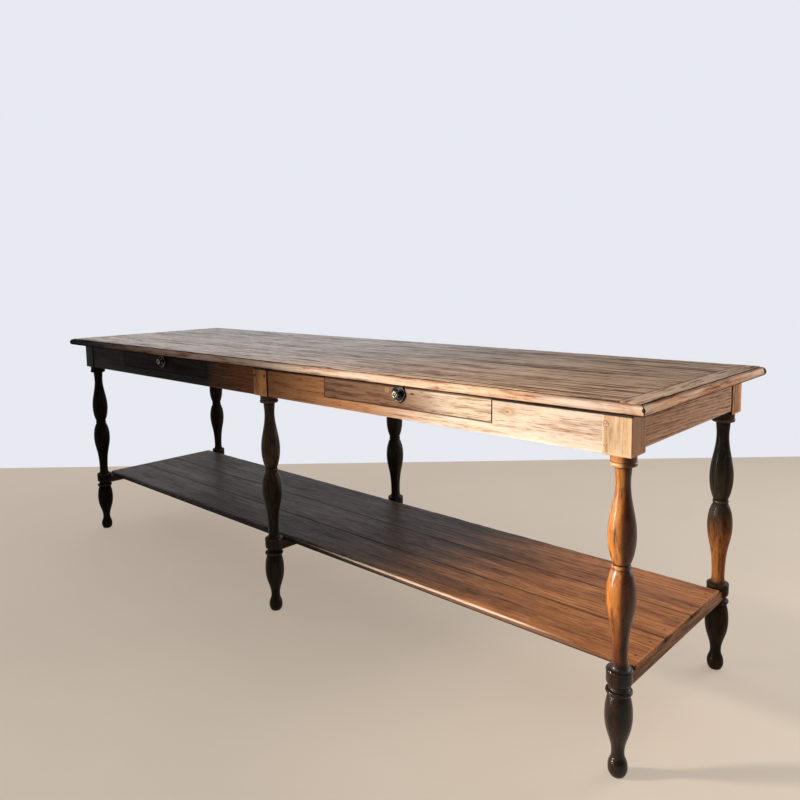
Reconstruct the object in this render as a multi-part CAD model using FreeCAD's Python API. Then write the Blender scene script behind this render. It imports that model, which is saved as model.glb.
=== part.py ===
import FreeCAD, Part
import os

# A draper's shop table: boarded top with moulded edge and breadboard ends, six turned legs,
# aprons with two inset drawers on the front, and a boarded shelf on three cross rails.
# Millimetres. +Z up, +X along the length, the drawers face -Y, origin on the floor
# under the middle of the top.

V = FreeCAD.Vector

# Overall sizes
top_length = 2500.0
top_width = 720.0
table_height = 815.0

# Fits shared by all joints
overrun = 5.0
wood_gap = 0.2
board_seam = 0.3

# Top: boards from front to back, breadboard ends and the edge moulding
top_thickness = 25.0
top_board_shares = (0.27, 0.23, 0.26, 0.24)
breadboard_width = 58.0
tongue_length = 22.0
tongue_share = 0.34
breadboard_peg_radius = 4.0
breadboard_peg_cover = 5.0
edge_step = 2.5
edge_ledge = 2.0
edge_upper_share = 0.5
edge_lower_share = 0.4

# Leg blocks and the leg's turned beads, rings and collar
leg_overhang = 45.0
leg_block = 64.0
block_height = 93.0
foot_base_radius = 15.5
foot_radius = 21.0
foot_belly_height = 18.0
ankle_radius = 13.8
ankle_height = 52.0
lower_belly_radius = 29.6
lower_shoulder_radius = 22.5
ring_radius = 28.2
ring_top_radius = 25.5
ring_height = 10.5
flare_height = 9.0
waist_radius = 20.0
waist_height = 1.0
bowl_radius = 27.6
bowl_height = 12.0
collar_radius = 28.2
collar_height = 15.5
collar_bead_height = 7.5
collar_groove = 2.0
cove_top_radius = 16.0
cove_height = 18.0
middle_belly_radius = 31.2
middle_shoulder_radius = 18.5
middle_ring_radius = 20.2
middle_ring_height = 9.5
middle_ring_root = 17.5
upper_belly_radius = 29.5
upper_neck_radius = 15.6
upper_flare_radius = 17.5
neck_bead_radius = 28.8
neck_bead_root = 24.5
neck_bead_height = 10.5
neck_collar_radius = 27.0
neck_collar_height = 14.0

# Shares of the height left for the three vases: rise and shoulder of the lower one, rise and
# shoulder of the middle one, then shoulder and rise of the upper one, which hangs upside down
vase_shares = (0.156, 0.087, 0.265, 0.106, 0.117, 0.269)
upper_neck_share = 0.755
upright_share = 0.5
slow_share = 0.55
stem_share = 0.62
quick_share = 0.35
slant_out_share = 0.45
slant_up_share = 0.18

# Aprons and their tenons
apron_thickness = 22.0
apron_recess = 2.0
front_apron_rise = 1.0
end_apron_rise = 11.0
tenon_thickness = 8.0
tenon_shoulder = 10.0
mortise_web = 6.0
open_shoulder = 3.0
cross_rail_thickness = 22.0

# Pegs and nails of the apron joints
peg_radius = 5.0
peg_depth = 38.0
peg_stand = 0.6
peg_drop = 30.0
peg_edge = 8.0
peg_gap = 0.05
pin_radius = 1.3
pin_depth = 24.0
pin_rise = 19.0
pin_pitch = 6.0

# Drawers
opening_width = 575.0
drawer_shift = 4.0
front_rail_height = 26.0
drawer_gap = 1.5
drawer_top_gap = 2.0
drawer_play = 0.3
drawer_back_room = 104.0
drawer_front_thickness = 22.0
drawer_side_thickness = 12.0
drawer_side_drop = 3.0
drawer_back_thickness = 11.0
drawer_back_inset = 6.0
drawer_housing = 4.0
drawer_bottom_thickness = 7.0
drawer_bottom_rise = 8.0
drawer_groove = 5.0
dovetail_lap = 8.0
tail_root_share = 0.26
tail_slope_share = 0.14
tail_place_shares = (0.26, 0.74)
bottom_nail_radius = 1.2
bottom_nail_head_radius = 2.6
bottom_nail_head = 1.0
bottom_nail_length = 22.0
bottom_nail_shares = (-0.7, 0.0, 0.7)

# Knobs: rosette, turned knob on a spindle, and its nut inside the drawer
rosette_margin = 2.0
rosette_radius = 23.0
rosette_rim = 4.2
rosette_dish = 1.4
rosette_dish_radius = 18.0
rosette_boss_radius = 8.5
rosette_boss = 4.5
knob_neck_radius = 4.6
knob_neck_length = 6.0
knob_head_radius = 10.0
knob_head_length = 9.0
knob_ring_radius = 6.2
knob_ring_depth = 1.2
knob_eye_radius = 3.0
spindle_radius = 2.6
spindle_gap = 0.15
spindle_tail = 3.0
nut_width = 14.0
nut_thickness = 5.0

# Drawer runners with their guides, stops, and the blocks that hold the top
runner_thickness = 17.0
runner_tread = 24.0
guide_width = 14.0
guide_height = 20.0
guide_play = 1.0
stub_length = 8.0
stub_share = 0.5
stop_length = 16.0
stop_height = 12.0
stop_gap = 0.6
glue_block_side = 22.0
glue_block_length = 90.0
glue_block_shares = (0.18, 0.82)
front_block_share = 0.5

# Shelf boards, rails and nails
shelf_thickness = 16.0
shelf_board_shares = (0.31, 0.30, 0.39)
shelf_leg_gap = 9.5
shelf_drop = 2.5
shelf_round_share = 0.5
shelf_fillet_share = 0.28
shelf_step = 2.5
shelf_rail_width = 36.0
shelf_rail_height = 26.0
shelf_housing = 4.0
shelf_tenon_width = 20.0
shelf_tenon_shoulder = 6.0
shelf_tenon_stop = 4.0
shelf_nail_radius = 1.5
shelf_nail_head_radius = 3.2
shelf_nail_head = 1.2
shelf_nail_length = 24.0
shelf_nail_shares = (0.25, 0.75)

# Places worked out from the sizes above
block_top = table_height - top_thickness
block_bottom = block_top - block_height
half_block = leg_block / 2
leg_x = top_length / 2 - leg_overhang - half_block
leg_y = top_width / 2 - leg_overhang - half_block
drawer_x = leg_x / 2 - drawer_shift
apron_face = leg_y + half_block - apron_recess
apron_inside = apron_face - apron_thickness
end_face = leg_x + half_block - apron_recess
front_bottom = block_bottom + front_apron_rise
end_bottom = block_bottom + end_apron_rise
tenon_length = half_block - mortise_web / 2
tenon_middle = half_block - apron_recess - apron_thickness / 2
opening_bottom = front_bottom + front_rail_height
drawer_half = opening_width / 2 - drawer_gap
drawer_bottom = opening_bottom + drawer_gap
drawer_top = block_top - drawer_top_gap
drawer_side_top = drawer_top - drawer_side_drop
drawer_front = -apron_face
drawer_front_back = drawer_front + drawer_front_thickness
drawer_back = apron_inside - drawer_back_room
knob_height = drawer_top - rosette_margin - rosette_radius
runner_top = drawer_bottom - drawer_play
runner_bottom = runner_top - runner_thickness

# The edge moulding, and the boarded deck that it frames
moulding_top = table_height - edge_step
edge_upper = edge_upper_share * (top_thickness - edge_step)
edge_lower = edge_lower_share * (top_thickness - edge_step)
edge_inset = edge_upper + edge_ledge
deck_half_length = top_length / 2 - edge_inset
deck_half_width = top_width / 2 - edge_inset

# Heights up the turned leg, from the floor to the block
turned_parts = (ankle_height + ring_height + flare_height + waist_height + bowl_height
                + collar_height + collar_bead_height + cove_height + middle_ring_height
                + neck_bead_height + neck_collar_height)
vase_height = block_bottom - turned_parts
lower_belly = ankle_height + vase_shares[0] * vase_height
ring_bottom = lower_belly + vase_shares[1] * vase_height
ring_top = ring_bottom + ring_height
waist_bottom = ring_top + flare_height
bowl_bottom = waist_bottom + waist_height
collar_bottom = bowl_bottom + bowl_height
collar_top = collar_bottom + collar_height
cove_bottom = collar_top + collar_bead_height
stem_bottom = cove_bottom + cove_height
middle_belly = stem_bottom + vase_shares[2] * vase_height
middle_ring_bottom = middle_belly + vase_shares[3] * vase_height
middle_ring_top = middle_ring_bottom + middle_ring_height
upper_belly = middle_ring_top + vase_shares[4] * vase_height
neck_collar_bottom = block_bottom - neck_collar_height
neck_bead_bottom = neck_collar_bottom - neck_bead_height
upper_neck = upper_belly + upper_neck_share * (neck_bead_bottom - upper_belly)

# The shelf follows the legs' collars
shelf_top = cove_bottom - shelf_drop
shelf_bottom = shelf_top - shelf_thickness
shelf_rail_top = shelf_bottom + shelf_housing
shelf_rail_bottom = shelf_rail_top - shelf_rail_height
shelf_half_width = leg_y - collar_radius - shelf_leg_gap
shelf_half_length = leg_x + shelf_rail_width / 2

SIDES = {"left": -1, "right": 1}
LEG_COLUMNS = {"left": -1, "middle": 0, "right": 1}
LEG_ROWS = {"front": -1, "back": 1}


class Outline:
    """Half outline of a turned piece, in radius and height, built edge after edge."""

    def __init__(self, height, spread=0):
        self.edges = []
        self.spread = spread
        self.start = (0, height)
        self.end = self.start

    def at(self, radius, height):
        """A place on the outline, moved out by the spread unless it is on the axis."""
        return V(radius + self.spread if radius > 0 else 0, 0, height)

    def add(self, *poles):
        """A curve from the end of the outline through its control points."""
        curve = Part.BezierCurve()
        curve.setPoles([self.at(*pole) for pole in (self.end,) + poles])
        self.edges.append(curve.toShape())
        self.end = poles[-1]

    def line(self, radius, height):
        """A straight stretch."""
        self.edges.append(Part.makeLine(self.at(*self.end), self.at(radius, height)))
        self.end = (radius, height)

    def sway(self, radius, height, start_share, end_share):
        """A double curve that runs upright at both of its ends."""
        start_radius, start = self.end
        rise = height - start
        self.add((start_radius, start + start_share * rise), (radius, height - end_share * rise),
                 (radius, height))

    def swell(self, radius, height):
        """A round that leaves aslant and ends upright."""
        start_radius, start = self.end
        rise = height - start
        out = radius - start_radius
        self.add((start_radius + slant_out_share * out, start + slant_up_share * rise),
                 (radius, height - upright_share * rise), (radius, height))

    def draw_in(self, radius, height):
        """A round that leaves upright and ends aslant."""
        start_radius, start = self.end
        rise = height - start
        out = start_radius - radius
        self.add((start_radius, start + upright_share * rise),
                 (radius + slant_out_share * out, height - slant_up_share * rise), (radius, height))

    def bead(self, radius, end_radius, height):
        """A round bead that stands out to a radius halfway up."""
        middle = self.at(radius, (self.end[1] + height) / 2)
        arc = Part.Arc(self.at(*self.end), middle, self.at(end_radius, height))
        self.edges.append(arc.toShape())
        self.end = (end_radius, height)

    def turned(self):
        """The solid of revolution about the upright axis."""
        if self.end[0] > 0:
            self.line(0, self.end[1])
        self.line(*self.start)
        face = Part.Face(Part.Wire(self.edges))
        return face.revolve(V(0, 0, 0), V(0, 0, 1), 360)


def block(x_range, y_range, z_range):
    """A square block between two places on each axis, given in either order."""
    low = V(min(x_range), min(y_range), min(z_range))
    high = V(max(x_range), max(y_range), max(z_range))
    size = high - low
    return Part.makeBox(size.x, size.y, size.z, low)


def grown(middle, half, gap=0):
    """The two ends of a span about its middle, with a gap on each side."""
    return (middle - half - gap, middle + half + gap)


def prism(points, direction):
    """A straight bar whose section is the closed outline through the points."""
    face = Part.Face(Part.makePolygon(points + points[:1]))
    return face.extrude(direction)


def quarter_round(start, centre, end):
    """The quarter circle from start to end about a centre."""
    reach = start - centre
    halfway = reach + (end - centre)
    halfway.multiply(reach.Length / halfway.Length)
    return Part.Arc(start, centre + halfway, end).toShape()


def joined(*shapes):
    """One solid from shapes that meet or overlap."""
    return shapes[0].fuse(list(shapes[1:])).removeSplitter()


def save(name, *solids):
    """Write the solids of one node."""
    shape = solids[0] if len(solids) == 1 else Part.makeCompound(list(solids))
    shape.exportStep("parts/" + name + ".step")


def nail(place, direction, radius, length, head_radius, head):
    """A nail from the top of its head along a direction."""
    shank = Part.makeCylinder(radius, length, place, direction)
    return joined(shank, Part.makeCylinder(head_radius, head, place, direction))


# Turned legs

def leg_outline(spread=0):
    """The leg from the floor to inside its block: foot, three vases, rings, collar and beads."""
    leg = Outline(0, spread)
    leg.line(foot_base_radius, 0)
    leg.swell(foot_radius, foot_belly_height)
    leg.sway(ankle_radius, ankle_height, slow_share, upright_share)
    leg.sway(lower_belly_radius, lower_belly, quick_share, upright_share)
    leg.draw_in(lower_shoulder_radius, ring_bottom)
    leg.bead(ring_radius, ring_top_radius, ring_top)
    leg.add((waist_radius, ring_top), (waist_radius, waist_bottom))
    leg.line(waist_radius, bowl_bottom)
    leg.add((bowl_radius, bowl_bottom), (bowl_radius, collar_bottom))
    leg.line(bowl_radius, collar_top)
    leg.line(collar_radius - collar_groove, collar_top)
    leg.bead(collar_radius, collar_radius - collar_groove, cove_bottom)
    leg.add((cove_top_radius, cove_bottom), (cove_top_radius, stem_bottom))
    leg.sway(middle_belly_radius, middle_belly, stem_share, quick_share)
    leg.draw_in(middle_shoulder_radius, middle_ring_bottom)
    leg.line(middle_ring_root, middle_ring_bottom)
    leg.bead(middle_ring_radius, middle_ring_root, middle_ring_top)
    leg.swell(upper_belly_radius, upper_belly)
    leg.sway(upper_neck_radius, upper_neck, quick_share, quick_share)
    leg.sway(upper_flare_radius, neck_bead_bottom, upright_share, upright_share)
    leg.line(neck_bead_root, neck_bead_bottom)
    leg.bead(neck_bead_radius, neck_bead_root, neck_collar_bottom)
    leg.line(neck_collar_radius, neck_collar_bottom)
    leg.line(neck_collar_radius, block_bottom + overrun)
    return leg


def plain_leg():
    """One leg on the upright axis, with no mortises."""
    top = block((-half_block, half_block), (-half_block, half_block), (block_bottom, block_top))
    return joined(leg_outline().turned(), top)


def row_tenon(column_x, row, toward, gap=0):
    """Tenon of a front or back apron in the leg at column_x, on the side toward -1 or 1."""
    x_face = column_x + toward * half_block
    x_end = x_face - toward * (tenon_length + gap)
    x_start = x_face + toward * (open_shoulder + overrun)
    height = (front_bottom + tenon_shoulder - gap, block_top - tenon_shoulder + gap)
    y_middle = row * (leg_y + tenon_middle)
    return block((x_end, x_start), grown(y_middle, tenon_thickness / 2, gap), height)


def cross_tenon(x_middle, row, bottom, gap=0):
    """Tenon of an end apron or of the cross rail in a leg of the given row."""
    y_face = row * (leg_y - half_block)
    y_end = y_face + row * (tenon_length + gap)
    y_start = y_face - row * (open_shoulder + overrun)
    height = (bottom + tenon_shoulder - gap, block_top - tenon_shoulder + gap)
    return block(grown(x_middle, tenon_thickness / 2, gap), (y_start, y_end), height)


def cross_middle(column):
    """Where the cross piece of a column of legs has the middle of its tenons."""
    return column * (leg_x + tenon_middle)


def shelf_tenon(column, row, gap=0):
    """Tenon of a shelf rail in the collar of a leg."""
    y_end = row * (leg_y - shelf_tenon_stop + gap)
    y_start = row * (leg_y - collar_radius - overrun)
    height = (shelf_rail_bottom + shelf_tenon_shoulder - gap,
              shelf_rail_top - shelf_tenon_shoulder + gap)
    return block(grown(column * leg_x, shelf_tenon_width / 2, gap), (y_start, y_end), height)


def row_peg_place(column_x, row, toward):
    """Where a peg enters the block on the front or back face, beside the tenon's shoulder."""
    x = column_x + toward * (half_block - peg_edge)
    return V(x, row * (leg_y + half_block), block_top - peg_drop)


def row_pegs(column_x, row, toward, gap=0):
    """The peg of one apron tenon, driven in from the outer face."""
    place = row_peg_place(column_x, row, toward) + V(0, row * peg_stand, 0)
    return [Part.makeCylinder(peg_radius + gap, peg_depth + gap, place, V(0, -row, 0))]


def row_pins(column_x, row, toward, gap=0):
    """Two small nails low in one apron tenon."""
    level = row_peg_place(column_x, row, toward)
    level.z = block_bottom + pin_rise
    steps = (-pin_pitch / 2, pin_pitch / 2)
    return [Part.makeCylinder(pin_radius + gap, pin_depth + gap, level + V(step, 0, 0),
                              V(0, -row, 0)) for step in steps]


def row_joints():
    """Every joint of a front or back apron with a leg: leg's x, row, side of the leg."""
    return [(column * leg_x, row, toward) for row in LEG_ROWS.values()
            for column, toward in ((-1, 1), (0, -1), (0, 1), (1, -1))]


def leg_cuts(column, row):
    """Mortises and holes of one leg."""
    cuts = [shelf_tenon(column, row, wood_gap),
            cross_tenon(cross_middle(column), row, end_bottom, wood_gap)]
    for joint in row_joints():
        if joint[:2] == (column * leg_x, row):
            cuts.append(row_tenon(*joint, wood_gap))
            cuts += row_pegs(*joint, peg_gap)
            if row == LEG_ROWS["front"]:
                cuts += row_pins(*joint, peg_gap)
    return cuts


def make_legs():
    """Six legs, each with its own mortises."""
    plain = plain_leg()
    for row_name, row in LEG_ROWS.items():
        for column_name, column in LEG_COLUMNS.items():
            leg = plain.translated(V(column * leg_x, row * leg_y, 0))
            save("leg_" + row_name + "_" + column_name, leg.cut(leg_cuts(column, row)))


# Aprons

def runner_x(side, hand):
    """The span of a runner across its bay, from the tread's inner edge to the guide's outer face."""
    outer = drawer_half + guide_play + guide_width
    inner = drawer_half - runner_tread
    return (side * drawer_x + hand * inner, side * drawer_x + hand * outer)


def runner_stub(side, hand, row, gap=0):
    """Stub tenon of a runner in the front or back apron."""
    x_middle = sum(runner_x(side, hand)) / 2
    half = stub_share * abs(runner_x(side, hand)[1] - x_middle)
    z_middle = (runner_bottom + opening_bottom) / 2
    half_height = stub_share * (opening_bottom - runner_bottom) / 2
    span = (row * (apron_inside - overrun), row * (apron_inside + stub_length + gap))
    return block(grown(x_middle, half, gap), span, grown(z_middle, half_height, gap))


def row_apron(side, row, left_gap):
    """A front or back apron of one bay, with its tenons, before the drawer's notch."""
    x_left, x_right = sorted((0, side * leg_x))
    body = block((x_left + half_block + left_gap, x_right - half_block),
                 (row * apron_inside, row * apron_face), (front_bottom, block_top))
    return joined(body, row_tenon(x_left, row, 1), row_tenon(x_right, row, -1))


def row_apron_cuts(side, row):
    """Peg and pin holes and runner mortises of a front or back apron."""
    x_left, x_right = sorted((0, side * leg_x))
    cuts = [runner_stub(side, hand, row, wood_gap) for hand in SIDES.values()]
    for joint in ((x_left, row, 1), (x_right, row, -1)):
        cuts += row_pegs(*joint, peg_gap)
        if row == LEG_ROWS["front"]:
            cuts += row_pins(*joint, peg_gap)
    return cuts


def make_row_aprons():
    """Front aprons with a notch for the drawer, plain back aprons."""
    for side_name, side in SIDES.items():
        front = row_apron(side, LEG_ROWS["front"], open_shoulder)
        notch = block(grown(side * drawer_x, opening_width / 2),
                      (-apron_face - overrun, -apron_inside + overrun),
                      (opening_bottom, block_top + overrun))
        cuts = row_apron_cuts(side, LEG_ROWS["front"])
        save("front_apron_" + side_name, front.cut([notch] + cuts))
        back = row_apron(side, LEG_ROWS["back"], 0)
        save("back_apron_" + side_name, back.cut(row_apron_cuts(side, LEG_ROWS["back"])))


def cross_piece(x_range, x_middle, back_gap):
    """An end apron or the cross rail, with a tenon in a front and in a back leg."""
    inside = leg_y - half_block
    body = block(x_range, (-inside, inside - back_gap), (end_bottom, block_top))
    tenons = [cross_tenon(x_middle, row, end_bottom) for row in LEG_ROWS.values()]
    return joined(body, *tenons)


def make_cross_pieces():
    """End aprons and the rail between the middle legs."""
    for side_name, side in SIDES.items():
        faces = (side * end_face, side * (end_face - apron_thickness))
        save("end_apron_" + side_name, cross_piece(faces, cross_middle(side), open_shoulder))
    rail = grown(0, cross_rail_thickness / 2)
    save("middle_cross_rail", cross_piece(rail, cross_middle(0), 0))


def make_apron_fasteners():
    """Pegs of all apron tenons, and the small nails of the front ones."""
    pegs = []
    pins = []
    for joint in row_joints():
        pegs += row_pegs(*joint)
        if joint[1] == LEG_ROWS["front"]:
            pins += row_pins(*joint)
    save("apron_pegs", *pegs)
    save("apron_nails", *pins)


# Top

def edge_side(sign, half):
    """Edges of one moulded side from its ledge down, at a half span."""
    nose_top = moulding_top - edge_upper
    nose_bottom = block_top + edge_lower

    def at(inward, height):
        return V(sign * (half - inward), 0, height)

    upper_arc = quarter_round(at(edge_upper, moulding_top), at(edge_upper, nose_top), at(0, nose_top))
    lower_arc = quarter_round(at(0, nose_bottom), at(edge_lower, nose_bottom), at(edge_lower, block_top))
    return [upper_arc, Part.makeLine(at(0, nose_top), at(0, nose_bottom)), lower_arc]


def moulded_bar(half, length):
    """A bar with a moulded edge on both sides, lying along Y."""
    right = edge_side(1, half)
    left = edge_side(-1, half)
    upper_half = half - edge_upper
    lower_half = half - edge_lower
    upper = Part.makeLine(V(-upper_half, 0, moulding_top), V(upper_half, 0, moulding_top))
    lower = Part.makeLine(V(-lower_half, 0, block_top), V(lower_half, 0, block_top))
    face = Part.Face(Part.Wire(Part.__sortEdges__(right + left + [upper, lower])))
    bar = face.extrude(V(0, length, 0))
    bar.translate(V(0, -length / 2, 0))
    return bar


def moulding_ring():
    """The edge moulding all round the boards, before its mitres are cut."""
    along = moulded_bar(top_width / 2, top_length + overrun)
    along.rotate(V(0, 0, 0), V(0, 0, 1), 90)
    across = moulded_bar(top_length / 2, top_width + overrun)
    room = block(grown(0, deck_half_length, board_seam), grown(0, deck_half_width, board_seam),
                 (block_top - overrun, table_height + overrun))
    return along.common(across).cut(room)


def mitred(ring, corners):
    """The part of the moulding ring above an outline on the floor."""
    wedge = prism([V(x, y, 0) for x, y in corners], V(0, 0, table_height + overrun))
    return ring.common(wedge)


def make_moulding():
    """Four strips of edge moulding, mitred where they meet at the corners."""
    ring = moulding_ring()
    tip = (top_length - top_width) / 2
    out_x = top_length / 2 + overrun
    out_y = top_width / 2 + overrun
    for row_name, row in LEG_ROWS.items():
        corners = [(board_seam - out_x, row * out_y), (out_x - board_seam, row * out_y),
                   (tip - board_seam, 0), (board_seam - tip, 0)]
        save("edge_moulding_" + row_name, mitred(ring, corners))
    for side_name, side in SIDES.items():
        corners = [(side * out_x, -out_y), (side * out_x, out_y), (side * tip, 0)]
        save("edge_moulding_" + side_name, mitred(ring, corners))


def spans(shares, half_width, seam):
    """Neighbouring spans across a width, by share, with a seam between them."""
    edge = -half_width
    result = []
    for share in shares:
        following = edge + share * 2 * half_width / sum(shares)
        result.append((edge + seam / 2, following - seam / 2))
        edge = following
    return result


def deck_spans():
    """Spans of the top boards: their shares of the whole top, cut off at the moulding."""
    return [(max(low, -deck_half_width), min(high, deck_half_width))
            for low, high in spans(top_board_shares, top_width / 2, board_seam)]


def tongue(side, y_range, gap=0):
    """Tongue on the end of a top board."""
    x_face = side * (top_length / 2 - breadboard_width)
    span = (x_face - side * overrun, x_face + side * (tongue_length + gap))
    middle = block_top + top_thickness / 2
    return block(span, y_range, grown(middle, tongue_share * top_thickness / 2, gap))


def breadboard_pegs(side, gap=0):
    """Blind pegs from below through the tongues, one for each top board."""
    x = side * (top_length / 2 - breadboard_width + tongue_length / 2)
    depth = top_thickness - breadboard_peg_cover
    return [Part.makeCylinder(breadboard_peg_radius + gap, depth + gap,
                              V(x, sum(span) / 2, block_top))
            for span in deck_spans()]


def make_top():
    """Long boards with tongues, breadboard ends with grooves, and the pegs between them."""
    board_end = top_length / 2 - breadboard_width
    level = (block_top, table_height)
    pegs = []
    holes = []
    for side in SIDES.values():
        pegs += breadboard_pegs(side)
        holes += breadboard_pegs(side, peg_gap)
    for number, span in enumerate(deck_spans(), 1):
        board = block(grown(0, board_end), span, level)
        tongues = [tongue(side, span) for side in SIDES.values()]
        save("top_board_" + str(number), joined(board, *tongues).cut(holes))
    for side_name, side in SIDES.items():
        ends = (side * (board_end + board_seam), side * deck_half_length)
        end = block(ends, grown(0, deck_half_width), level)
        groove = tongue(side, grown(0, deck_half_width), wood_gap)
        save("breadboard_end_" + side_name, end.cut([groove] + holes))
    save("breadboard_pegs", *pegs)


# Drawers

def tail(side_x, hand, middle, gap=0):
    """One dovetail of a drawer side, wider at its front end."""
    depth = drawer_front_thickness - dovetail_lap
    root = tail_root_share * (drawer_side_top - drawer_bottom) / 2 + gap
    tip = root + tail_slope_share * depth
    back = drawer_front_back + overrun
    front = drawer_front_back - depth - gap
    inner = side_x + hand * (drawer_half - drawer_side_thickness - gap)
    points = [V(inner, back, middle - root), V(inner, drawer_front_back, middle - root),
              V(inner, front, middle - tip), V(inner, front, middle + tip),
              V(inner, drawer_front_back, middle + root), V(inner, back, middle + root)]
    return prism(points, V(hand * (drawer_side_thickness + 2 * gap), 0, 0))


def tails(side_x, hand, gap=0):
    """The dovetails of one drawer side."""
    height = drawer_side_top - drawer_bottom
    return [tail(side_x, hand, drawer_bottom + share * height, gap) for share in tail_place_shares]


def bottom_panel(side_x, gap=0):
    """The drawer's bottom, in grooves of the front and the sides, under the back."""
    half = drawer_half - drawer_side_thickness + drawer_groove - wood_gap + gap
    level = drawer_bottom + drawer_bottom_rise
    front = drawer_front_back - drawer_groove + wood_gap - gap
    end = drawer_back - drawer_back_inset + gap
    return block(grown(side_x, half), (front, end),
                 (level - gap, level + drawer_bottom_thickness + gap))


def back_board(side_x, gap=0):
    """The drawer's back, housed in the sides, standing on the bottom."""
    half = drawer_half - drawer_side_thickness + drawer_housing - wood_gap + gap
    end = drawer_back - drawer_back_inset
    bottom = drawer_bottom + drawer_bottom_rise + drawer_bottom_thickness
    return block(grown(side_x, half), (end - drawer_back_thickness - gap, end + gap),
                 (bottom - gap, drawer_side_top + gap))


def bottom_nails(side_x, gap=0):
    """Nails up through the bottom into the back."""
    level = drawer_bottom + drawer_bottom_rise
    y = drawer_back - drawer_back_inset - drawer_back_thickness / 2
    return [nail(V(side_x + share * drawer_half, y, level - gap), V(0, 0, 1), bottom_nail_radius + gap,
                 bottom_nail_length + 2 * gap, bottom_nail_head_radius + gap, bottom_nail_head + 2 * gap)
            for share in bottom_nail_shares]


def spindle_hole(side_x, radius):
    """The bore for a knob's spindle, right through the drawer front."""
    start = V(side_x, drawer_front - overrun - knob_neck_length, knob_height)
    return Part.makeCylinder(radius, drawer_front_thickness + 2 * overrun + knob_neck_length,
                             start, V(0, 1, 0))


def make_drawer_box(side_name, side_x):
    """Front, sides, back and bottom of one drawer, and the nails of its bottom."""
    name = "drawer_" + side_name + "_"
    front = block(grown(side_x, drawer_half), (drawer_front, drawer_front_back),
                  (drawer_bottom, drawer_top))
    cuts = [bottom_panel(side_x, wood_gap), spindle_hole(side_x, spindle_radius + spindle_gap)]
    for hand_name, hand in SIDES.items():
        outer = side_x + hand * drawer_half
        board = block((outer, outer - hand * drawer_side_thickness), (drawer_front_back, drawer_back),
                      (drawer_bottom, drawer_side_top))
        groove = bottom_panel(side_x, wood_gap)
        groove_end = groove.translated(V(0, drawer_back_inset + overrun, 0))
        side = joined(board, *tails(side_x, hand))
        save(name + "side_" + hand_name,
             side.cut([groove, groove_end, back_board(side_x, wood_gap)]))
        cuts += tails(side_x, hand, wood_gap)
    save(name + "front", front.cut(cuts))
    holes = bottom_nails(side_x, peg_gap)
    save(name + "back", back_board(side_x).cut(holes))
    save(name + "bottom", bottom_panel(side_x).cut(holes))
    save(name + "nails", *bottom_nails(side_x))


def faced(shape, side_x):
    """A turned piece laid on the drawer's face, its axis to the front."""
    shape.rotate(V(0, 0, 0), V(1, 0, 0), 90)
    return shape.translated(V(side_x, drawer_front, knob_height))


def rosette():
    """A dished round plate with a rolled rim and a middle boss."""
    plate = Outline(0)
    rim_radius = (rosette_radius - rosette_dish_radius) / 2
    plate.line(rosette_radius, 0)
    plate.add((rosette_radius, rosette_rim), (rosette_radius - rim_radius, rosette_rim))
    plate.add((rosette_dish_radius, rosette_rim), (rosette_dish_radius, rosette_dish))
    plate.add((rosette_boss_radius, rosette_dish), (rosette_boss_radius, rosette_boss),
              (knob_neck_radius, rosette_boss))
    return plate.turned()


def knob():
    """Neck, flat round head with a turned ring and an eye on its face, and the spindle."""
    neck_top = rosette_boss + knob_neck_length
    head_top = neck_top + knob_head_length
    turned = Outline(-drawer_front_thickness - nut_thickness - spindle_tail)
    turned.line(spindle_radius, turned.start[1])
    turned.line(spindle_radius, rosette_boss)
    turned.line(knob_neck_radius, rosette_boss)
    turned.line(knob_neck_radius, (rosette_boss + neck_top) / 2)
    turned.swell(knob_head_radius, (neck_top + head_top) / 2)
    turned.draw_in(knob_ring_radius, head_top)
    turned.line(knob_eye_radius, head_top - knob_ring_depth)
    turned.add((knob_eye_radius, head_top), (0, head_top))
    return turned.turned()


def make_knob(side_name, side_x):
    """Rosette, knob and nut of one drawer."""
    name = "knob_" + side_name + "_"
    bore = spindle_hole(side_x, spindle_radius + spindle_gap)
    save(name + "rosette", faced(rosette(), side_x).cut(bore))
    save(name + "grip", faced(knob(), side_x))
    nut = block(grown(side_x, nut_width / 2), (drawer_front_back, drawer_front_back + nut_thickness),
                grown(knob_height, nut_width / 2))
    save(name + "nut", nut.cut(bore))


def make_drawers():
    """Both drawers with their knobs."""
    for side_name, side in SIDES.items():
        make_drawer_box(side_name, side * drawer_x)
        make_knob(side_name, side * drawer_x)


# Runners, stops and the blocks that hold the top

def make_runners():
    """A runner with its guide beside each drawer side, and a stop behind it."""
    stops = []
    for side_name, side in SIDES.items():
        for hand_name, hand in SIDES.items():
            span = runner_x(side, hand)
            depth = (-apron_inside, apron_inside)
            tread = block(span, depth, (runner_bottom, runner_top))
            guide = block((span[1], span[1] - hand * guide_width), depth,
                          (runner_top, runner_top + guide_height))
            stubs = [runner_stub(side, hand, row) for row in LEG_ROWS.values()]
            save("drawer_" + side_name + "_runner_" + hand_name, joined(tread, guide, *stubs))
            start = drawer_back + stop_gap
            stops.append(block((span[0], span[1] - hand * guide_width), (start, start + stop_length),
                               (runner_top, runner_top + stop_height)))
    save("drawer_stops", *stops)


def glue_block(x_range, y_range):
    """A block in the corner between an apron and the top."""
    return block(x_range, y_range, (block_top - glue_block_side, block_top))


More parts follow.
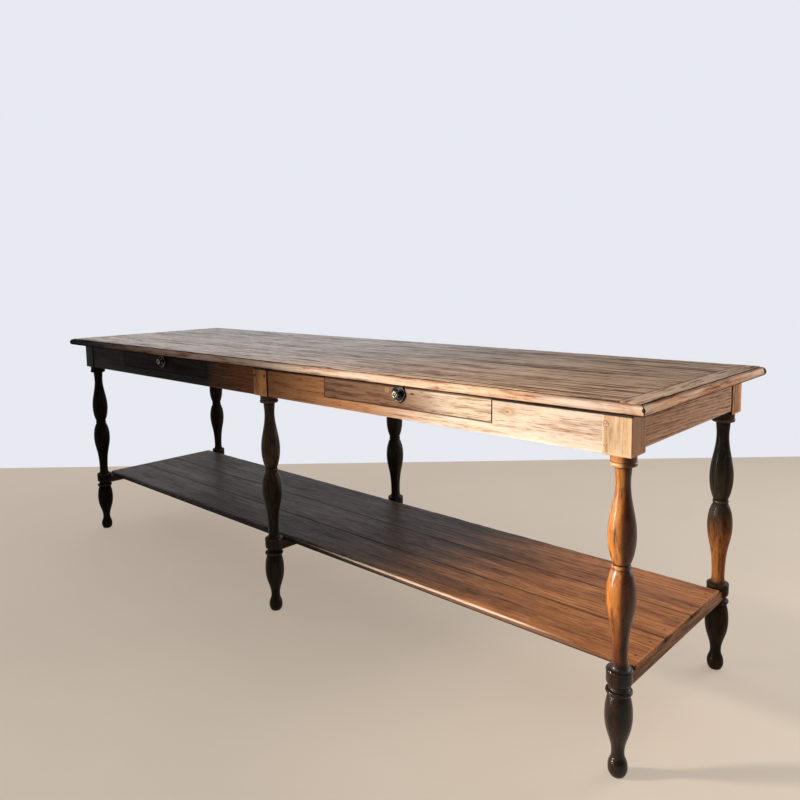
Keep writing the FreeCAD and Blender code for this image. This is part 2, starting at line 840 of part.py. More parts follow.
def make_glue_blocks():
    """Blocks along the front, back and end aprons."""
    blocks = []
    half = glue_block_length / 2
    row_depth = (apron_inside, apron_inside - glue_block_side)
    opening_edge = drawer_half + drawer_gap
    for side in SIDES.values():
        for share in glue_block_shares:
            blocks.append(glue_block(grown(side * share * leg_x, half), row_depth))
        inner = (half_block, drawer_x - opening_edge)
        outer = (drawer_x + opening_edge, leg_x - half_block)
        for start, end in (inner, outer):
            place = start + front_block_share * (end - start)
            front_depth = (-row_depth[0], -row_depth[1])
            blocks.append(glue_block(grown(side * place, half), front_depth))
        end_inside = side * (end_face - apron_thickness)
        end_depth = (end_inside, end_inside - side * glue_block_side)
        reach = leg_y - half_block
        for share in glue_block_shares:
            middle = reach * (2 * share - 1)
            blocks.append(glue_block(end_depth, grown(middle, half)))
    save("glue_blocks", *blocks)


# Shelf

def shelf_section():
    """Edges of the shelf's section: a round over a set-back fillet on both long sides."""
    radius = shelf_round_share * shelf_thickness
    round_end = shelf_top - radius
    fillet_top = shelf_bottom + shelf_fillet_share * shelf_thickness
    edges = []
    for sign in SIDES.values():

        def at(inward, height):
            return V(0, sign * (shelf_half_width - inward), height)

        edges.append(quarter_round(at(radius, shelf_top), at(radius, round_end), at(0, round_end)))
        corners = [at(0, round_end), at(0, fillet_top), at(shelf_step, fillet_top),
                   at(shelf_step, shelf_bottom)]
        edges += Part.makePolygon(corners).Edges
    top_half = shelf_half_width - radius
    bottom_half = shelf_half_width - shelf_step
    edges.append(Part.makeLine(V(0, -top_half, shelf_top), V(0, top_half, shelf_top)))
    edges.append(Part.makeLine(V(0, -bottom_half, shelf_bottom), V(0, bottom_half, shelf_bottom)))
    return edges


def shelf_slab():
    """The whole shelf before it is parted into boards."""
    face = Part.Face(Part.Wire(Part.__sortEdges__(shelf_section())))
    slab = face.extrude(V(2 * shelf_half_length, 0, 0))
    slab.translate(V(-shelf_half_length, 0, 0))
    return slab


def rail_housing(column):
    """The housing of a rail on the underside of the shelf."""
    return block(grown(column * leg_x, shelf_rail_width / 2, wood_gap), (-leg_y, leg_y),
                 (shelf_bottom - overrun, shelf_rail_top))


def shelf_rail(column):
    """A rail across the shelf, scribed to the turning of its two legs and tenoned into them."""
    body = block(grown(column * leg_x, shelf_rail_width / 2), (-leg_y, leg_y),
                 (shelf_rail_bottom, shelf_rail_top))
    turning = leg_outline(wood_gap).turned()
    legs = [turning.translated(V(column * leg_x, row * leg_y, 0)) for row in LEG_ROWS.values()]
    tenons = [shelf_tenon(column, row) for row in LEG_ROWS.values()]
    return joined(body.cut(legs), *tenons)


def shelf_nails(gap=0):
    """Two nails through each shelf board into each rail."""
    nails = []
    for column in LEG_COLUMNS.values():
        for low, high in spans(shelf_board_shares, shelf_half_width, board_seam):
            for share in shelf_nail_shares:
                place = V(column * leg_x, low + share * (high - low), shelf_top + gap)
                nails.append(nail(place, V(0, 0, -1), shelf_nail_radius + gap, shelf_nail_length + 2 * gap,
                                  shelf_nail_head_radius + gap, shelf_nail_head + 2 * gap))
    return nails


def make_shelf():
    """Shelf boards let over the rails, the rails, and the nails."""
    slab = shelf_slab().cut([rail_housing(column) for column in LEG_COLUMNS.values()])
    holes = shelf_nails(peg_gap)
    board_names = ("front", "middle", "back")
    board_spans = spans(shelf_board_shares, shelf_half_width, board_seam)
    length = grown(0, shelf_half_length, overrun)
    level = (shelf_bottom - overrun, shelf_top + overrun)
    for name, span in zip(board_names, board_spans):
        save("shelf_board_" + name, slab.common(block(length, span, level)).cut(holes))
    for name, column in LEG_COLUMNS.items():
        save("shelf_rail_" + name, shelf_rail(column).cut(holes))
    save("shelf_nails", *shelf_nails())


os.makedirs("parts", exist_ok=True)
make_top()
make_moulding()
make_legs()
make_row_aprons()
make_cross_pieces()
make_apron_fasteners()
make_runners()
make_glue_blocks()
make_drawers()
make_shelf()
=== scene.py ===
"""Looks of a draper's shop table: meshes, finishes, light and camera.

Metres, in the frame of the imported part: +Z up, +X along the table, the drawers face -Y, and the
origin lies on the floor under the middle of the top.
"""

import logging
import math
from dataclasses import dataclass, replace
from enum import Enum
from typing import Any, Callable, Mapping, Optional, Sequence, Union

import bpy
import numpy as np
from mathutils import Matrix, Vector


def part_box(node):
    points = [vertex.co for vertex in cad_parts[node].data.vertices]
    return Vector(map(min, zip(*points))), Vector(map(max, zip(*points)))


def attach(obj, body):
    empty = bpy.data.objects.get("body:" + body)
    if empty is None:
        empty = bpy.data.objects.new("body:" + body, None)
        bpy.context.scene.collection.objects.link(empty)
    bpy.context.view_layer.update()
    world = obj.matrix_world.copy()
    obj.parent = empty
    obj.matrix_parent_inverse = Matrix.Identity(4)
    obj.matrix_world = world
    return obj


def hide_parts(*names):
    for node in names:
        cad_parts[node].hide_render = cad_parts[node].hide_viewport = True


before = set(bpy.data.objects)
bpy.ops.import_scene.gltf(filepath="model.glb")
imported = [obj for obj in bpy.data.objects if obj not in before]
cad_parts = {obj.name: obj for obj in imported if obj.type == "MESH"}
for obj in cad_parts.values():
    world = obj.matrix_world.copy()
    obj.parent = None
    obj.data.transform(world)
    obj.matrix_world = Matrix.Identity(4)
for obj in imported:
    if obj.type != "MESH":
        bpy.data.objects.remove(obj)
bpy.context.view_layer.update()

logging.basicConfig(level=logging.INFO, format="%(message)s")
log = logging.getLogger("table")

Array = np.ndarray
Pair = tuple[float, float]
Triple = tuple[float, float, float]
Number = Union["Value", float]
Box = tuple[Triple, Triple]
Nicks = tuple[int, float, float]
Socket = bpy.types.NodeSocket


class Axis(Enum):
    """A direction of the shared frame."""
    X = 0
    Y = 1
    Z = 2


class Side(Enum):
    """An end of the table, seen from the drawers."""
    LEFT = -1
    RIGHT = 1

    @property
    def word(self) -> str:
        """The side's name as the nodes use it."""
        return self.name.lower()


class Slot(Enum):
    """The record's material slots."""
    TOP = "top_oak"
    LEG = "leg_oak"
    APRON = "apron_oak"
    DRAWER = "drawer_front_oak"
    SHELF = "shelf_oak"
    INNER = "inner_wood"
    PEG = "peg_oak"
    KNOB = "knob_metal"
    NAIL = "nail_iron"


# Shader maths

def both_ways(operation: str) -> tuple[Callable[..., "Value"], Callable[..., "Value"]]:
    """An operator on varying numbers and its reflected form.

    Args:
        operation: the Math node's operation.

    Returns:
        The method with the varying number first, and the one with it second.
    """
    def first(self: "Value", other: Number) -> "Value":
        """The operation, with the varying number first."""
        return self.nodes.math(operation, self, other)

    def second(self: "Value", other: Number) -> "Value":
        """The operation, with the varying number second."""
        return self.nodes.math(operation, other, self)

    return first, second


class Value:
    """A number that varies over a surface; arithmetic on it adds Math nodes."""
    __add__, __radd__ = both_ways("ADD")
    __sub__, __rsub__ = both_ways("SUBTRACT")
    __mul__, __rmul__ = both_ways("MULTIPLY")
    __truediv__, __rtruediv__ = both_ways("DIVIDE")
    __pow__, __rpow__ = both_ways("POWER")

    def __init__(self, nodes: "Nodes", socket: Socket) -> None:
        """Wrap an output socket of a node tree."""
        self.nodes = nodes
        self.socket = socket

    def __abs__(self) -> "Value":
        """Size without its sign."""
        return self.nodes.math("ABSOLUTE", self)

    def fraction(self) -> "Value":
        """What is left after the whole number."""
        return self.nodes.math("FRACT", self)

    def least(self, other: Number) -> "Value":
        """The smaller of two."""
        return self.nodes.math("MINIMUM", self, other)

    def most(self, other: Number) -> "Value":
        """The larger of two."""
        return self.nodes.math("MAXIMUM", self, other)

    def rise(self, low: float, high: float) -> "Value":
        """A smooth step from 0 at low to 1 at high; high may be the smaller, which turns it round."""
        first, last, start, end = (low, high, 0.0, 1.0) if low < high else (high, low, 1.0, 0.0)
        node = self.nodes.add("ShaderNodeMapRange", {0: self, 1: first, 2: last, 3: start, 4: end},
                              interpolation_type="SMOOTHSTEP")
        return Value(self.nodes, node.outputs[0])


class Nodes:
    """The node tree of one material or of the world."""
    seed_start: Triple = (3.1, 7.9, 1.3)
    seed_step: Triple = (1.7, 2.3, 0.9)

    def __init__(self, owner: Union[bpy.types.Material, bpy.types.World]) -> None:
        """Start an empty tree.

        Args:
            owner: the new material or world that the tree belongs to.
        """
        owner.use_nodes = True
        self.owner = owner
        self.tree = owner.node_tree
        self.tree.nodes.clear()

    def add(self, kind: str, sockets: Optional[Mapping[Union[int, str], Any]] = None,
            **settings: Any) -> bpy.types.Node:
        """Make any node.

        Args:
            kind: the node's type.
            sockets: a value, a Value or an output socket for each named or numbered input.
            settings: properties, set first; stops gives a ramp's places and colours.

        Returns:
            The node.
        """
        node = self.tree.nodes.new(kind)
        for key, setting in settings.items():
            if key == "stops":
                self._set_stops(node, setting)
            else:
                setattr(node, key, setting)
        for key, given in (sockets or {}).items():
            target = node.inputs[key]
            if isinstance(given, (Value, Socket)):
                self.tree.links.new(getattr(given, "socket", given), target)
            elif isinstance(given, tuple) and target.type == "RGBA":
                target.default_value = given + (1.0,)
            else:
                target.default_value = given
        return node

    @staticmethod
    def _set_stops(node: bpy.types.Node, stops: Sequence[tuple[float, Triple]]) -> None:
        """Give a ramp its stops, each a place and a colour."""
        elements = node.color_ramp.elements
        for _ in range(len(stops) - len(elements)):
            elements.new(1.0)
        for element, (place, colour) in zip(elements, stops):
            element.position = place
            element.color = colour + (1.0,)

    def math(self, operation: str, *operands: Number) -> Value:
        """A Math node on numbers and values."""
        node = self.add("ShaderNodeMath", dict(enumerate(operands)), operation=operation)
        return Value(self, node.outputs[0])

    def vector(self, operation: str, *operands: Any) -> Socket:
        """A Vector Math node; its vector output."""
        node = self.add("ShaderNodeVectorMath", dict(enumerate(operands)), operation=operation)
        return node.outputs["Vector"]

    def length(self, vector: Socket) -> Value:
        """The length of a vector."""
        node = self.add("ShaderNodeVectorMath", {0: vector}, operation="LENGTH")
        return Value(self, node.outputs["Value"])

    def toward(self, vector: Socket, aim: Triple) -> Value:
        """How far a vector points along an aim; 0 where it points away."""
        node = self.add("ShaderNodeVectorMath", {0: vector, 1: aim}, operation="DOT_PRODUCT")
        return Value(self, node.outputs["Value"]).most(0.0)

    def place(self) -> Socket:
        """The point on the surface, in the shared frame."""
        return self.add("ShaderNodeTexCoord").outputs["Object"]

    def parts(self, vector: Socket) -> tuple[Value, Value, Value]:
        """The three parts of a vector."""
        node = self.add("ShaderNodeSeparateXYZ", {0: vector})
        return tuple(Value(self, output) for output in node.outputs)

    def along(self, place: Socket, axis: Axis) -> Value:
        """How far a point lies along an axis."""
        return self.parts(place)[axis.value]

    def rays(self, *kinds: str) -> list[Value]:
        """Whether a ray is of each of some kinds, such as Camera: 1 or 0."""
        path = self.add("ShaderNodeLightPath").outputs
        return [Value(self, path["Is %s Ray" % kind]) for kind in kinds]

    def mask(self, name: str) -> Value:
        """A mask stored on the mesh's points; 0 where a mesh has none."""
        node = self.add("ShaderNodeAttribute", attribute_type="GEOMETRY", attribute_name=name)
        return Value(self, node.outputs["Fac"])

    def noise(self, place: Socket, stretch: Triple, seed: float, detail: float = 2.0,
              rough: float = 0.5) -> Value:
        """Cloudy noise near 0.5, with a number of features per metre on each axis.

        Args:
            place: the point to look up.
            stretch: features per metre along X, Y and Z.
            seed: shifts the pattern.
            detail: finer layers added.
            rough: weight of the finer layers.

        Returns:
            The noise, about 0.2 to 0.8.
        """
        shift = tuple(first + seed * step for first, step in zip(self.seed_start, self.seed_step))
        moved = self.vector("MULTIPLY_ADD", place, stretch, shift)
        node = self.add("ShaderNodeTexNoise", {"Vector": moved, "Scale": 1.0, "Detail": detail,
                                               "Roughness": rough}, noise_dimensions="3D")
        return Value(self, node.outputs[0])

    def ramp(self, value: Value, stops: Sequence[tuple[float, Triple]]) -> Socket:
        """Colours along a value."""
        return self.add("ShaderNodeValToRGB", {0: value}, stops=stops).outputs["Color"]

    def mix(self, factor: Number, first: Any, second: Any, blend: str = "MIX") -> Socket:
        """Blend of two colours by a factor."""
        node = self.add("ShaderNodeMix", {0: factor, 6: first, 7: second}, data_type="RGBA",
                        blend_type=blend)
        return node.outputs[2]

    def bump(self, height: Value, depth: float, strength: float) -> Socket:
        """Normal of a relief whose height 0 to 1 stands for a depth in metres."""
        node = self.add("ShaderNodeBump", {"Height": height, "Distance": depth, "Strength": strength})
        return node.outputs["Normal"]

    def finish(self, sockets: Mapping[str, Any]) -> bpy.types.Material:
        """Close the tree with a Principled shader and give back the material."""
        shader = self.add("ShaderNodeBsdfPrincipled", sockets)
        self.add("ShaderNodeOutputMaterial", {"Surface": shader.outputs[0]})
        return self.owner


# Finishes

@dataclass(frozen=True)
class Palette:
    """Colours of a wood from its pores to its palest streaks, with the dirt, which also paints shade, and
    the bared wood.
    """
    dark: Triple
    middle: Triple
    light: Triple
    # The dirt colour also paints shade where the dark mask marks shaded lines and gaps.
    grime: Triple = (0.012, 0.008, 0.006)
    bare: Triple = (0.46, 0.32, 0.20)

    def along(self, nodes: Nodes, tone: Value) -> Socket:
        """The wood's colours along a tone from 0 to 1."""
        return nodes.ramp(tone, [(0.08, self.dark), (0.5, self.middle), (0.92, self.light)])


@dataclass(frozen=True)
class Fade:
    """A change of tone along an axis: none at start, the whole tint at stop. The script's fades paint light
    and shade.
    """
    axis: Axis
    start: float
    stop: float
    tint: Triple
    waver: float = 0.05


@dataclass(frozen=True)
class Mark:
    """A filled hole, knot or stain, and on the shelf's nosing a painted highlight and a painted shade: an
    ellipsoid of another colour.
    """
    centre: Triple
    reach: Triple
    colour: Triple
    strength: float = 0.9
    soft: float = 0.5


@dataclass(frozen=True)
class Grain:
    """How the board was cut: its long axis and where the heart of the tree lies from it."""
    along: Axis
    heart: Pair = (0.0, 0.0)
    lean: float = 0.0
    ring_gap: float = 0.006
    wander: float = 0.008
    drift_size: Pair = (1.6, 9.0)
    ripple_size: Pair = (5.0, 45.0)

    def stretch(self, lengthwise: float, crosswise: float) -> Triple:
        """Features per metre with and across the grain, as X, Y and Z."""
        return tuple(lengthwise if axis is self.along else crosswise for axis in Axis)


@dataclass(frozen=True)
class Layer:
    """One noise of a wood: features per metre with and across the grain, its shift of the seed, its
    detail, and the values between which it rises from 0 to 1."""
    size: Pair
    shift: float
    detail: float = 2.0
    rough: float = 0.5
    limits: Optional[Pair] = None

    def laid(self, nodes: Nodes, place: Socket, grain: Grain, seed: float) -> Value:
        """The noise, laid along a grain."""
        noise = nodes.noise(place, grain.stretch(*self.size), seed + self.shift, self.detail, self.rough)
        return noise if self.limits is None else noise.rise(*self.limits)


@dataclass(frozen=True)
class Oak:
    """Old waxed oak: rings, streaks, pores, cracks, scratches, worn edges and dirt, with light and shade
    painted in by its fades, marks, block palette and dark masks.
    """
    name: str
    slot: Slot
    palette: Palette
    grain: Grain
    seed: float = 0.0
    figure: float = 0.30
    streak: float = 0.55
    dash: float = 0.20
    dash_size: Pair = (24.0, 130.0)
    fleck: float = 0.15
    fleck_size: Pair = (60.0, 330.0)
    pore: float = 0.30
    patina: float = 0.35
    wear: float = 0.5
    edge_dirt_and_shade: float = 0.0
    grime: float = 0.7
    crack: float = 0.5
    scratch: float = 0.0
    relief: float = 0.5
    roughness: float = 0.45
    sheen: float = 0.25
    coat: float = 0.1
    coat_roughness: float = 0.25
    coat_along: Optional[Pair] = None
    # block and block_from: a lighter palette from that height up, which paints the lamp's light on a leg's
    # square block.
    block: Optional[Palette] = None
    block_from: Pair = (0.693, 0.699)
    broad: Layer = Layer((1.3, 15.0), 1.0, 3.0, 0.55)
    streaks: Layer = Layer((6.5, 130.0), 2.0, 4.0, 0.62)
    pores: Layer = Layer((22.0, 700.0), 3.0, 2.0, 0.6, (0.52, 0.72))
    clouds: Layer = Layer((3.0, 7.0), 5.0, 4.0, 0.6)
    lines: Layer = Layer((0.8, 26.0), 6.0)
    breaks: Layer = Layer((2.2, 14.0), 7.0, limits=(0.52, 0.62))
    edge_width: float = 0.007
    relief_depth: float = 0.0012
    # turned_fades paint light and shade on a leg's turned part only.
    turned_fades: tuple[Fade, ...] = ()
    fades: tuple[Fade, ...] = ()
    marks: tuple[Mark, ...] = ()

    @staticmethod
    def _faded(nodes: Nodes, place: Socket, broad: Value, colour: Socket,
               fades: Sequence[Fade]) -> Socket:
        """A colour taken through changes of tone along axes, with wavering borders."""
        for fade in fades:
            along = nodes.along(place, fade.axis) + (broad - 0.5) * (4 * fade.waver)
            colour = nodes.mix(along.rise(fade.start, fade.stop), colour, fade.tint, "MULTIPLY")
        return colour

    def _marked(self, nodes: Nodes, place: Socket, clouds: Value, colour: Socket) -> Socket:
        """A colour with the marks laid over it, each with a ragged and soft border."""
        for mark in self.marks:
            shares = tuple(1 / reach for reach in mark.reach)
            inside = nodes.vector("MULTIPLY", nodes.vector("SUBTRACT", place, mark.centre), shares)
            ragged = nodes.length(inside) + (clouds - 0.5) * 0.6
            spot = ragged.rise(1.0, 1.0 - mark.soft) * mark.strength
            colour = nodes.mix(spot, colour, mark.colour)
        return colour

    def _rings(self, nodes: Nodes, place: Socket) -> Value:
        """Growth rings: a saw-toothed function of the wavering distance from the tree's heart."""
        grain = self.grain
        drift = nodes.noise(place, grain.stretch(*grain.drift_size), self.seed, 2.0)
        ripple = nodes.noise(place, grain.stretch(*grain.ripple_size), self.seed + 4.0, 2.0)
        parts = nodes.parts(place)
        along = parts[grain.along.value]
        first, second = [parts[axis.value] for axis in Axis if axis is not grain.along]
        sideways = first - grain.heart[0] + (drift - 0.5) * (4 * grain.wander)
        depth = second - grain.heart[1] + along * grain.lean
        distance = (sideways * sideways + depth * depth) ** 0.5
        saw = (distance / grain.ring_gap + (ripple - 0.5) * 1.6).fraction()
        return saw * saw * saw.rise(1.0, 0.9)

    def _edge(self, nodes: Nodes, place: Socket, box: Box) -> Value:
        """Nearness to an edge of a box: 1 minus the second smallest distance to its faces."""
        middle = tuple((low + high) / 2 for low, high in zip(*box))
        half = tuple((high - low) / 2 for low, high in zip(*box))
        away = nodes.vector("ABSOLUTE", nodes.vector("SUBTRACT", place, middle))
        inward = nodes.vector("SUBTRACT", half, away)
        x, y, z = nodes.parts(inward)
        second = x.least(y).most(x.most(y).least(z))
        return second.rise(self.edge_width, 0.0)

    def material(self, box: Optional[Box] = None) -> bpy.types.Material:
        """Make the finish's material.

        Args:
            box: the piece's corners, for the worn edges of a piece with no masks of its own.

        Returns:
            The material.
        """
        nodes = Nodes(bpy.data.materials.new(self.name))
        place = nodes.place()
        rings = self._rings(nodes, place)
        layers = (self.broad, self.streaks, self.pores, Layer(self.dash_size, 8.0, 3.0, 0.6, (0.50, 0.64)),
                  Layer(self.fleck_size, 9.0, 2.0, 0.6, (0.52, 0.64)), self.clouds)
        broad, streaks, pores, dashes, flecks, clouds = (
            layer.laid(nodes, place, self.grain, self.seed) for layer in layers)
        tone = (0.52 - self.figure * (rings - 0.3) + (broad - 0.5) * (1.9 * self.streak)
                + (streaks - 0.5) * (2.2 * self.streak) - pores * self.pore - (dashes - 0.3) * self.dash
                - (flecks - 0.3) * self.fleck)
        colours = self.palette
        # Light and shade painted on the turned part, before the block's palette.
        colour = self._faded(nodes, place, broad, colours.along(nodes, tone), self.turned_fades)
        bare = self._faded(nodes, place, broad, colours.bare, self.turned_fades)
        # The block's lighter palette: painted light on the leg's block.
        if self.block is not None:
            up = nodes.along(place, Axis.Z).rise(*self.block_from)
            colour = nodes.mix(up, colour, self.block.along(nodes, tone))
            bare = nodes.mix(up, bare, self.block.bare)

        lines = abs(self.lines.laid(nodes, place, self.grain, self.seed) - 0.5)
        broken = self.breaks.laid(nodes, place, self.grain, self.seed)
        cracks = lines.rise(0.006, 0.0015) * broken * self.crack
        dirt = clouds.rise(0.42, 0.75) * self.patina
        colour = nodes.mix(dirt, colour, colours.dark)
        worn, dirt_and_shade = nodes.mask("worn"), nodes.mask("dirt_and_shade")
        # On a dressed node the box's edges are worn, or darkened as far as the finish asks: on the drawer
        # fronts the darkening is painted shade of the gaps round them, with some dirt.
        if box is not None:
            edge = self._edge(nodes, place, box)
            worn = worn.most(edge * (1 - self.edge_dirt_and_shade))
            dirt_and_shade = dirt_and_shade.most(edge.rise(0.72, 0.94) * self.edge_dirt_and_shade)
        wear_and_highlight = worn * (clouds + streaks * 0.6).rise(0.62, 0.95) * self.wear
        colour = nodes.mix(wear_and_highlight, colour, bare)
        colour = self._faded(nodes, place, broad, colour, self.fades)
        colour = self._marked(nodes, place, clouds, colour)
        # The dark mix over the masked places: dirt in seams, ends and turned hollows, and painted shade in
        # the quirks, under the moulding's nose, in joint gaps, under the shelf's nosing and round the drawer
        # fronts.
        filth_and_shade = (dirt_and_shade * (0.65 + clouds * 0.7) * self.grime).least(1.0)
        colour = nodes.mix(filth_and_shade, colour, colours.grime)
        colour = nodes.mix(cracks, colour, colours.grime)
        shine = (self.roughness + (clouds - 0.5) * 0.25 + (0.5 - tone) * 0.15 + pores * 0.10
                 + filth_and_shade * 0.2 - wear_and_highlight * 0.08)
        height = 0.7 - pores * 0.35 + (streaks - 0.5) * 0.5 - rings * 0.18 - cracks * 0.9
        if self.scratch > 0:
            scored = self._scratches(nodes, place)
            colour = nodes.mix(scored * self.scratch, colour, colours.bare)
            height = height - scored * 0.4
        normal = nodes.bump(height, self.relief_depth, self.relief)
        wax = (1 - filth_and_shade) * (1 - dashes * 0.55) * (1 - flecks * 0.45) * self.coat
        if self.coat_along is not None:
            wax = wax * nodes.along(place, Axis.X).rise(*self.coat_along)
        return nodes.finish({"Base Color": colour, "Roughness": shine.most(0.08), "Normal": normal,
                             "Specular IOR Level": self.sheen, "Coat Weight": wax,
                             "Coat Roughness": self.coat_roughness})

    def _scratches(self, nodes: Nodes, place: Socket) -> Value:
        """Fine scratches: thin crests of two long noises laid at angles to the grain."""
        found: Optional[Value] = None
        for turn, shift in ((0.33, 11.0), (-0.6, 12.0)):
            mapped = nodes.add("ShaderNodeMapping", {"Vector": place, "Rotation": (0.0, 0.0, turn)})
            long = nodes.noise(mapped.outputs[0], (3.5, 75.0, 20.0), self.seed + shift, 1.0)
            broken = nodes.noise(place, (5.0, 5.0, 5.0), self.seed + shift + 0.5, 2.0).rise(0.54, 0.64)
            score = abs(long - 0.5).rise(0.004, 0.001) * broken
            found = score if found is None else found.most(score)
        return found


@dataclass(frozen=True)
class DarkMetal:
    """Blackened metal, worn bright on its ridges and matt in its hollows."""
    name: str
    slot: Slot
    colour: Triple
    bright: Triple
    roughness: float = 0.38
    metallic: float = 0.9

    def material(self, box: Optional[Box] = None) -> bpy.types.Material:
        """Make the finish's material.

        Args:
            box: not needed by this finish.

        Returns:
            The material.
        """
        nodes = Nodes(bpy.data.materials.new(self.name))
        place = nodes.place()
        clouds = nodes.noise(place, (140.0, 140.0, 140.0), 2.0, 4.0, 0.65)
        specks = nodes.noise(place, (900.0, 900.0, 900.0), 5.0, 2.0)
        worn = nodes.mask("worn") * (clouds.rise(0.35, 0.65) * 0.6 + 0.4)
        dirt_and_shade = nodes.mask("dirt_and_shade")
        colour = nodes.mix(worn, self.colour, self.bright)
        colour = nodes.mix(dirt_and_shade * 0.8, colour, (0.006, 0.005, 0.004))
        colour = nodes.mix(clouds.rise(0.55, 0.8) * 0.5, colour, (0.03, 0.018, 0.010))
        shine = self.roughness + (clouds - 0.5) * 0.4 + dirt_and_shade * 0.2 - worn * 0.12
        normal = nodes.bump(clouds * 0.6 + specks * 0.4, 0.0003, 0.5)
        return nodes.finish({"Base Color": colour, "Roughness": shine.most(0.12), "Normal": normal,
                             "Metallic": (1 - worn) * self.metallic})


Finish = Union[Oak, DarkMetal]


# Meshes

@dataclass
class Skin:
    """Points, faces and wear masks of a closed surface."""
    points: Array
    quads: Array
    tris: Array
    worn: Array
    dirt_and_shade: Array

    def with_skin(self, other: "Skin") -> "Skin":
        """This surface and another as one mesh."""
        shift = len(self.points)
        return Skin(np.concatenate([self.points, other.points]),
                    np.concatenate([self.quads, other.quads + shift]),
                    np.concatenate([self.tris, other.tris + shift]),
                    np.concatenate([self.worn, other.worn]),
                    np.concatenate([self.dirt_and_shade, other.dirt_and_shade]))

    def volume(self) -> float:
        """Enclosed volume, below zero where the faces point inwards: the sum over all triangles of a
        sixth of the triple product of their corners."""
        corners = np.concatenate([self.tris, self.quads[:, [0, 1, 2]], self.quads[:, [0, 2, 3]]])
        a, b, c = (self.points[corners[:, k]] for k in range(3))
        return float((a * np.cross(b, c)).sum() / 6)

    def outward(self) -> "Skin":
        """The same surface with its faces turned outwards."""
        if self.volume() < 0:
            self.quads = self.quads[:, ::-1]
            self.tris = self.tris[:, ::-1]
        return self

    def make(self, name: str, finish: Finish, body: str, nodes: Sequence[str],
             crease: float = 38.0) -> bpy.types.Object:
        """Put the surface into the scene in place of CAD nodes.

        Args:
            name: the piece's name.
            finish: its finish.
            body: the body that it rides on.
            nodes: the CAD nodes that it stands for.
            crease: faces that meet at more than this angle in degrees have a sharp edge.

        Returns:
            The piece.
        """
        mesh = bpy.data.meshes.new(name)
        mesh.from_pydata(self.points, [], self.quads.tolist() + self.tris.tolist())
        for title, mask in (("worn", self.worn), ("dirt_and_shade", self.dirt_and_shade)):
            stored = mesh.attributes.new(title, "FLOAT", "POINT")
            stored.data.foreach_set("value", np.ascontiguousarray(mask, dtype=np.float32))
        mesh.shade_smooth()
        mesh.set_sharp_from_angle(angle=math.radians(crease))
        mesh.update()
        piece = bpy.data.objects.new(name, mesh)
        bpy.context.scene.collection.objects.link(piece)
        mesh.materials.append(finish.material())
        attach(piece, body)
        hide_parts(*nodes)
        log.info("piece %s: %d points, body %s, finish %s", name, len(self.points), body, finish.name)
        return piece


def grid_faces(rows: int, columns: int) -> Array:
    """Four-cornered faces between neighbouring rows of a grid whose columns close on themselves."""
    row, column = np.meshgrid(np.arange(rows - 1), np.arange(columns), indexing="ij")
    following = (column + 1) % columns
    return np.stack([row * columns + column, row * columns + following,
                     (row + 1) * columns + following, (row + 1) * columns + column], -1).reshape(-1, 4)


def fan_faces(first: int, columns: int, pole: int, turned: bool) -> Array:
    """Triangles from a closed row of points to a pole."""
    column = np.arange(columns)
    following = (column + 1) % columns
    pair = (following, column) if turned else (column, following)
    return np.stack([first + pair[0], first + pair[1], np.full(columns, pole)], -1)


def ring_skin(rings: Array, worn: Array, dirt_and_shade: Array) -> Skin:
    """A tube through closed rings of points, shut at both ends by a fan to the ring's mean point.

    Args:
        rings: points as (rings, points of a ring, 3).
        worn: mask of rubbed places, one number for each point.
        dirt_and_shade: mask of dirty hollows and of painted shade, one number for each point.

    Returns:
        The closed surface.
    """
    rows, columns, _ = rings.shape
    poles = np.stack([rings[0].mean(0), rings[-1].mean(0)])
    points = np.concatenate([rings.reshape(-1, 3), poles])
    count = rows * columns
    tris = np.concatenate([fan_faces(0, columns, count, True),
                           fan_faces(count - columns, columns, count + 1, False)])
    ends = np.zeros(2)
    return Skin(points, grid_faces(rows, columns), tris,
                np.concatenate([worn.reshape(-1), ends]),
                np.concatenate([dirt_and_shade.reshape(-1), ends])).outward()


def ripple(place: Array, wave: float, seed: int) -> Array:
    """A smooth wander between 0 and 1: the mean of five sines, each finer and weaker than the last,
    with phases drawn from the seed.

    Args:
        place: where to look it up, in metres.
        wave: the longest wave, in metres.
        seed: choice of phases.

    Returns:
        The wander at each place.
    """
    draw = np.random.default_rng(seed)
    order = np.arange(1, 6) * (1 + 0.17 * draw.uniform(-1, 1, 5))
    phase = draw.uniform(0, 2 * np.pi, 5)
    sines = np.sin(2 * np.pi * np.asarray(place)[..., None] * order / wave + phase) / order
    return 0.5 + 0.5 * sines.sum(-1) / (1 / order).sum()


def dents(place: Array, low: float, high: float, count: int, width: float, depth: float,
          seed: int) -> Array:
    """Nicks along an edge: the deepest of a number of bell curves at drawn places.

    Args:
        place: places along the edge.
        low: where nicks may begin.
        high: where they end.
        count: number of nicks.
        width: the widest nick's half width.
        depth: the deepest nick's depth.
        seed: choice of places.

    Returns:
        Depth at each place.
    """
    draw = np.random.default_rng(seed)
    centres = draw.uniform(low, high, count)
    widths = width * draw.uniform(0.35, 1.0, count)
    depths = depth * draw.uniform(0.2, 1.0, count) ** 2
    bells = depths * np.exp(-((np.asarray(place)[..., None] - centres) / widths) ** 2)
    return bells.max(-1)


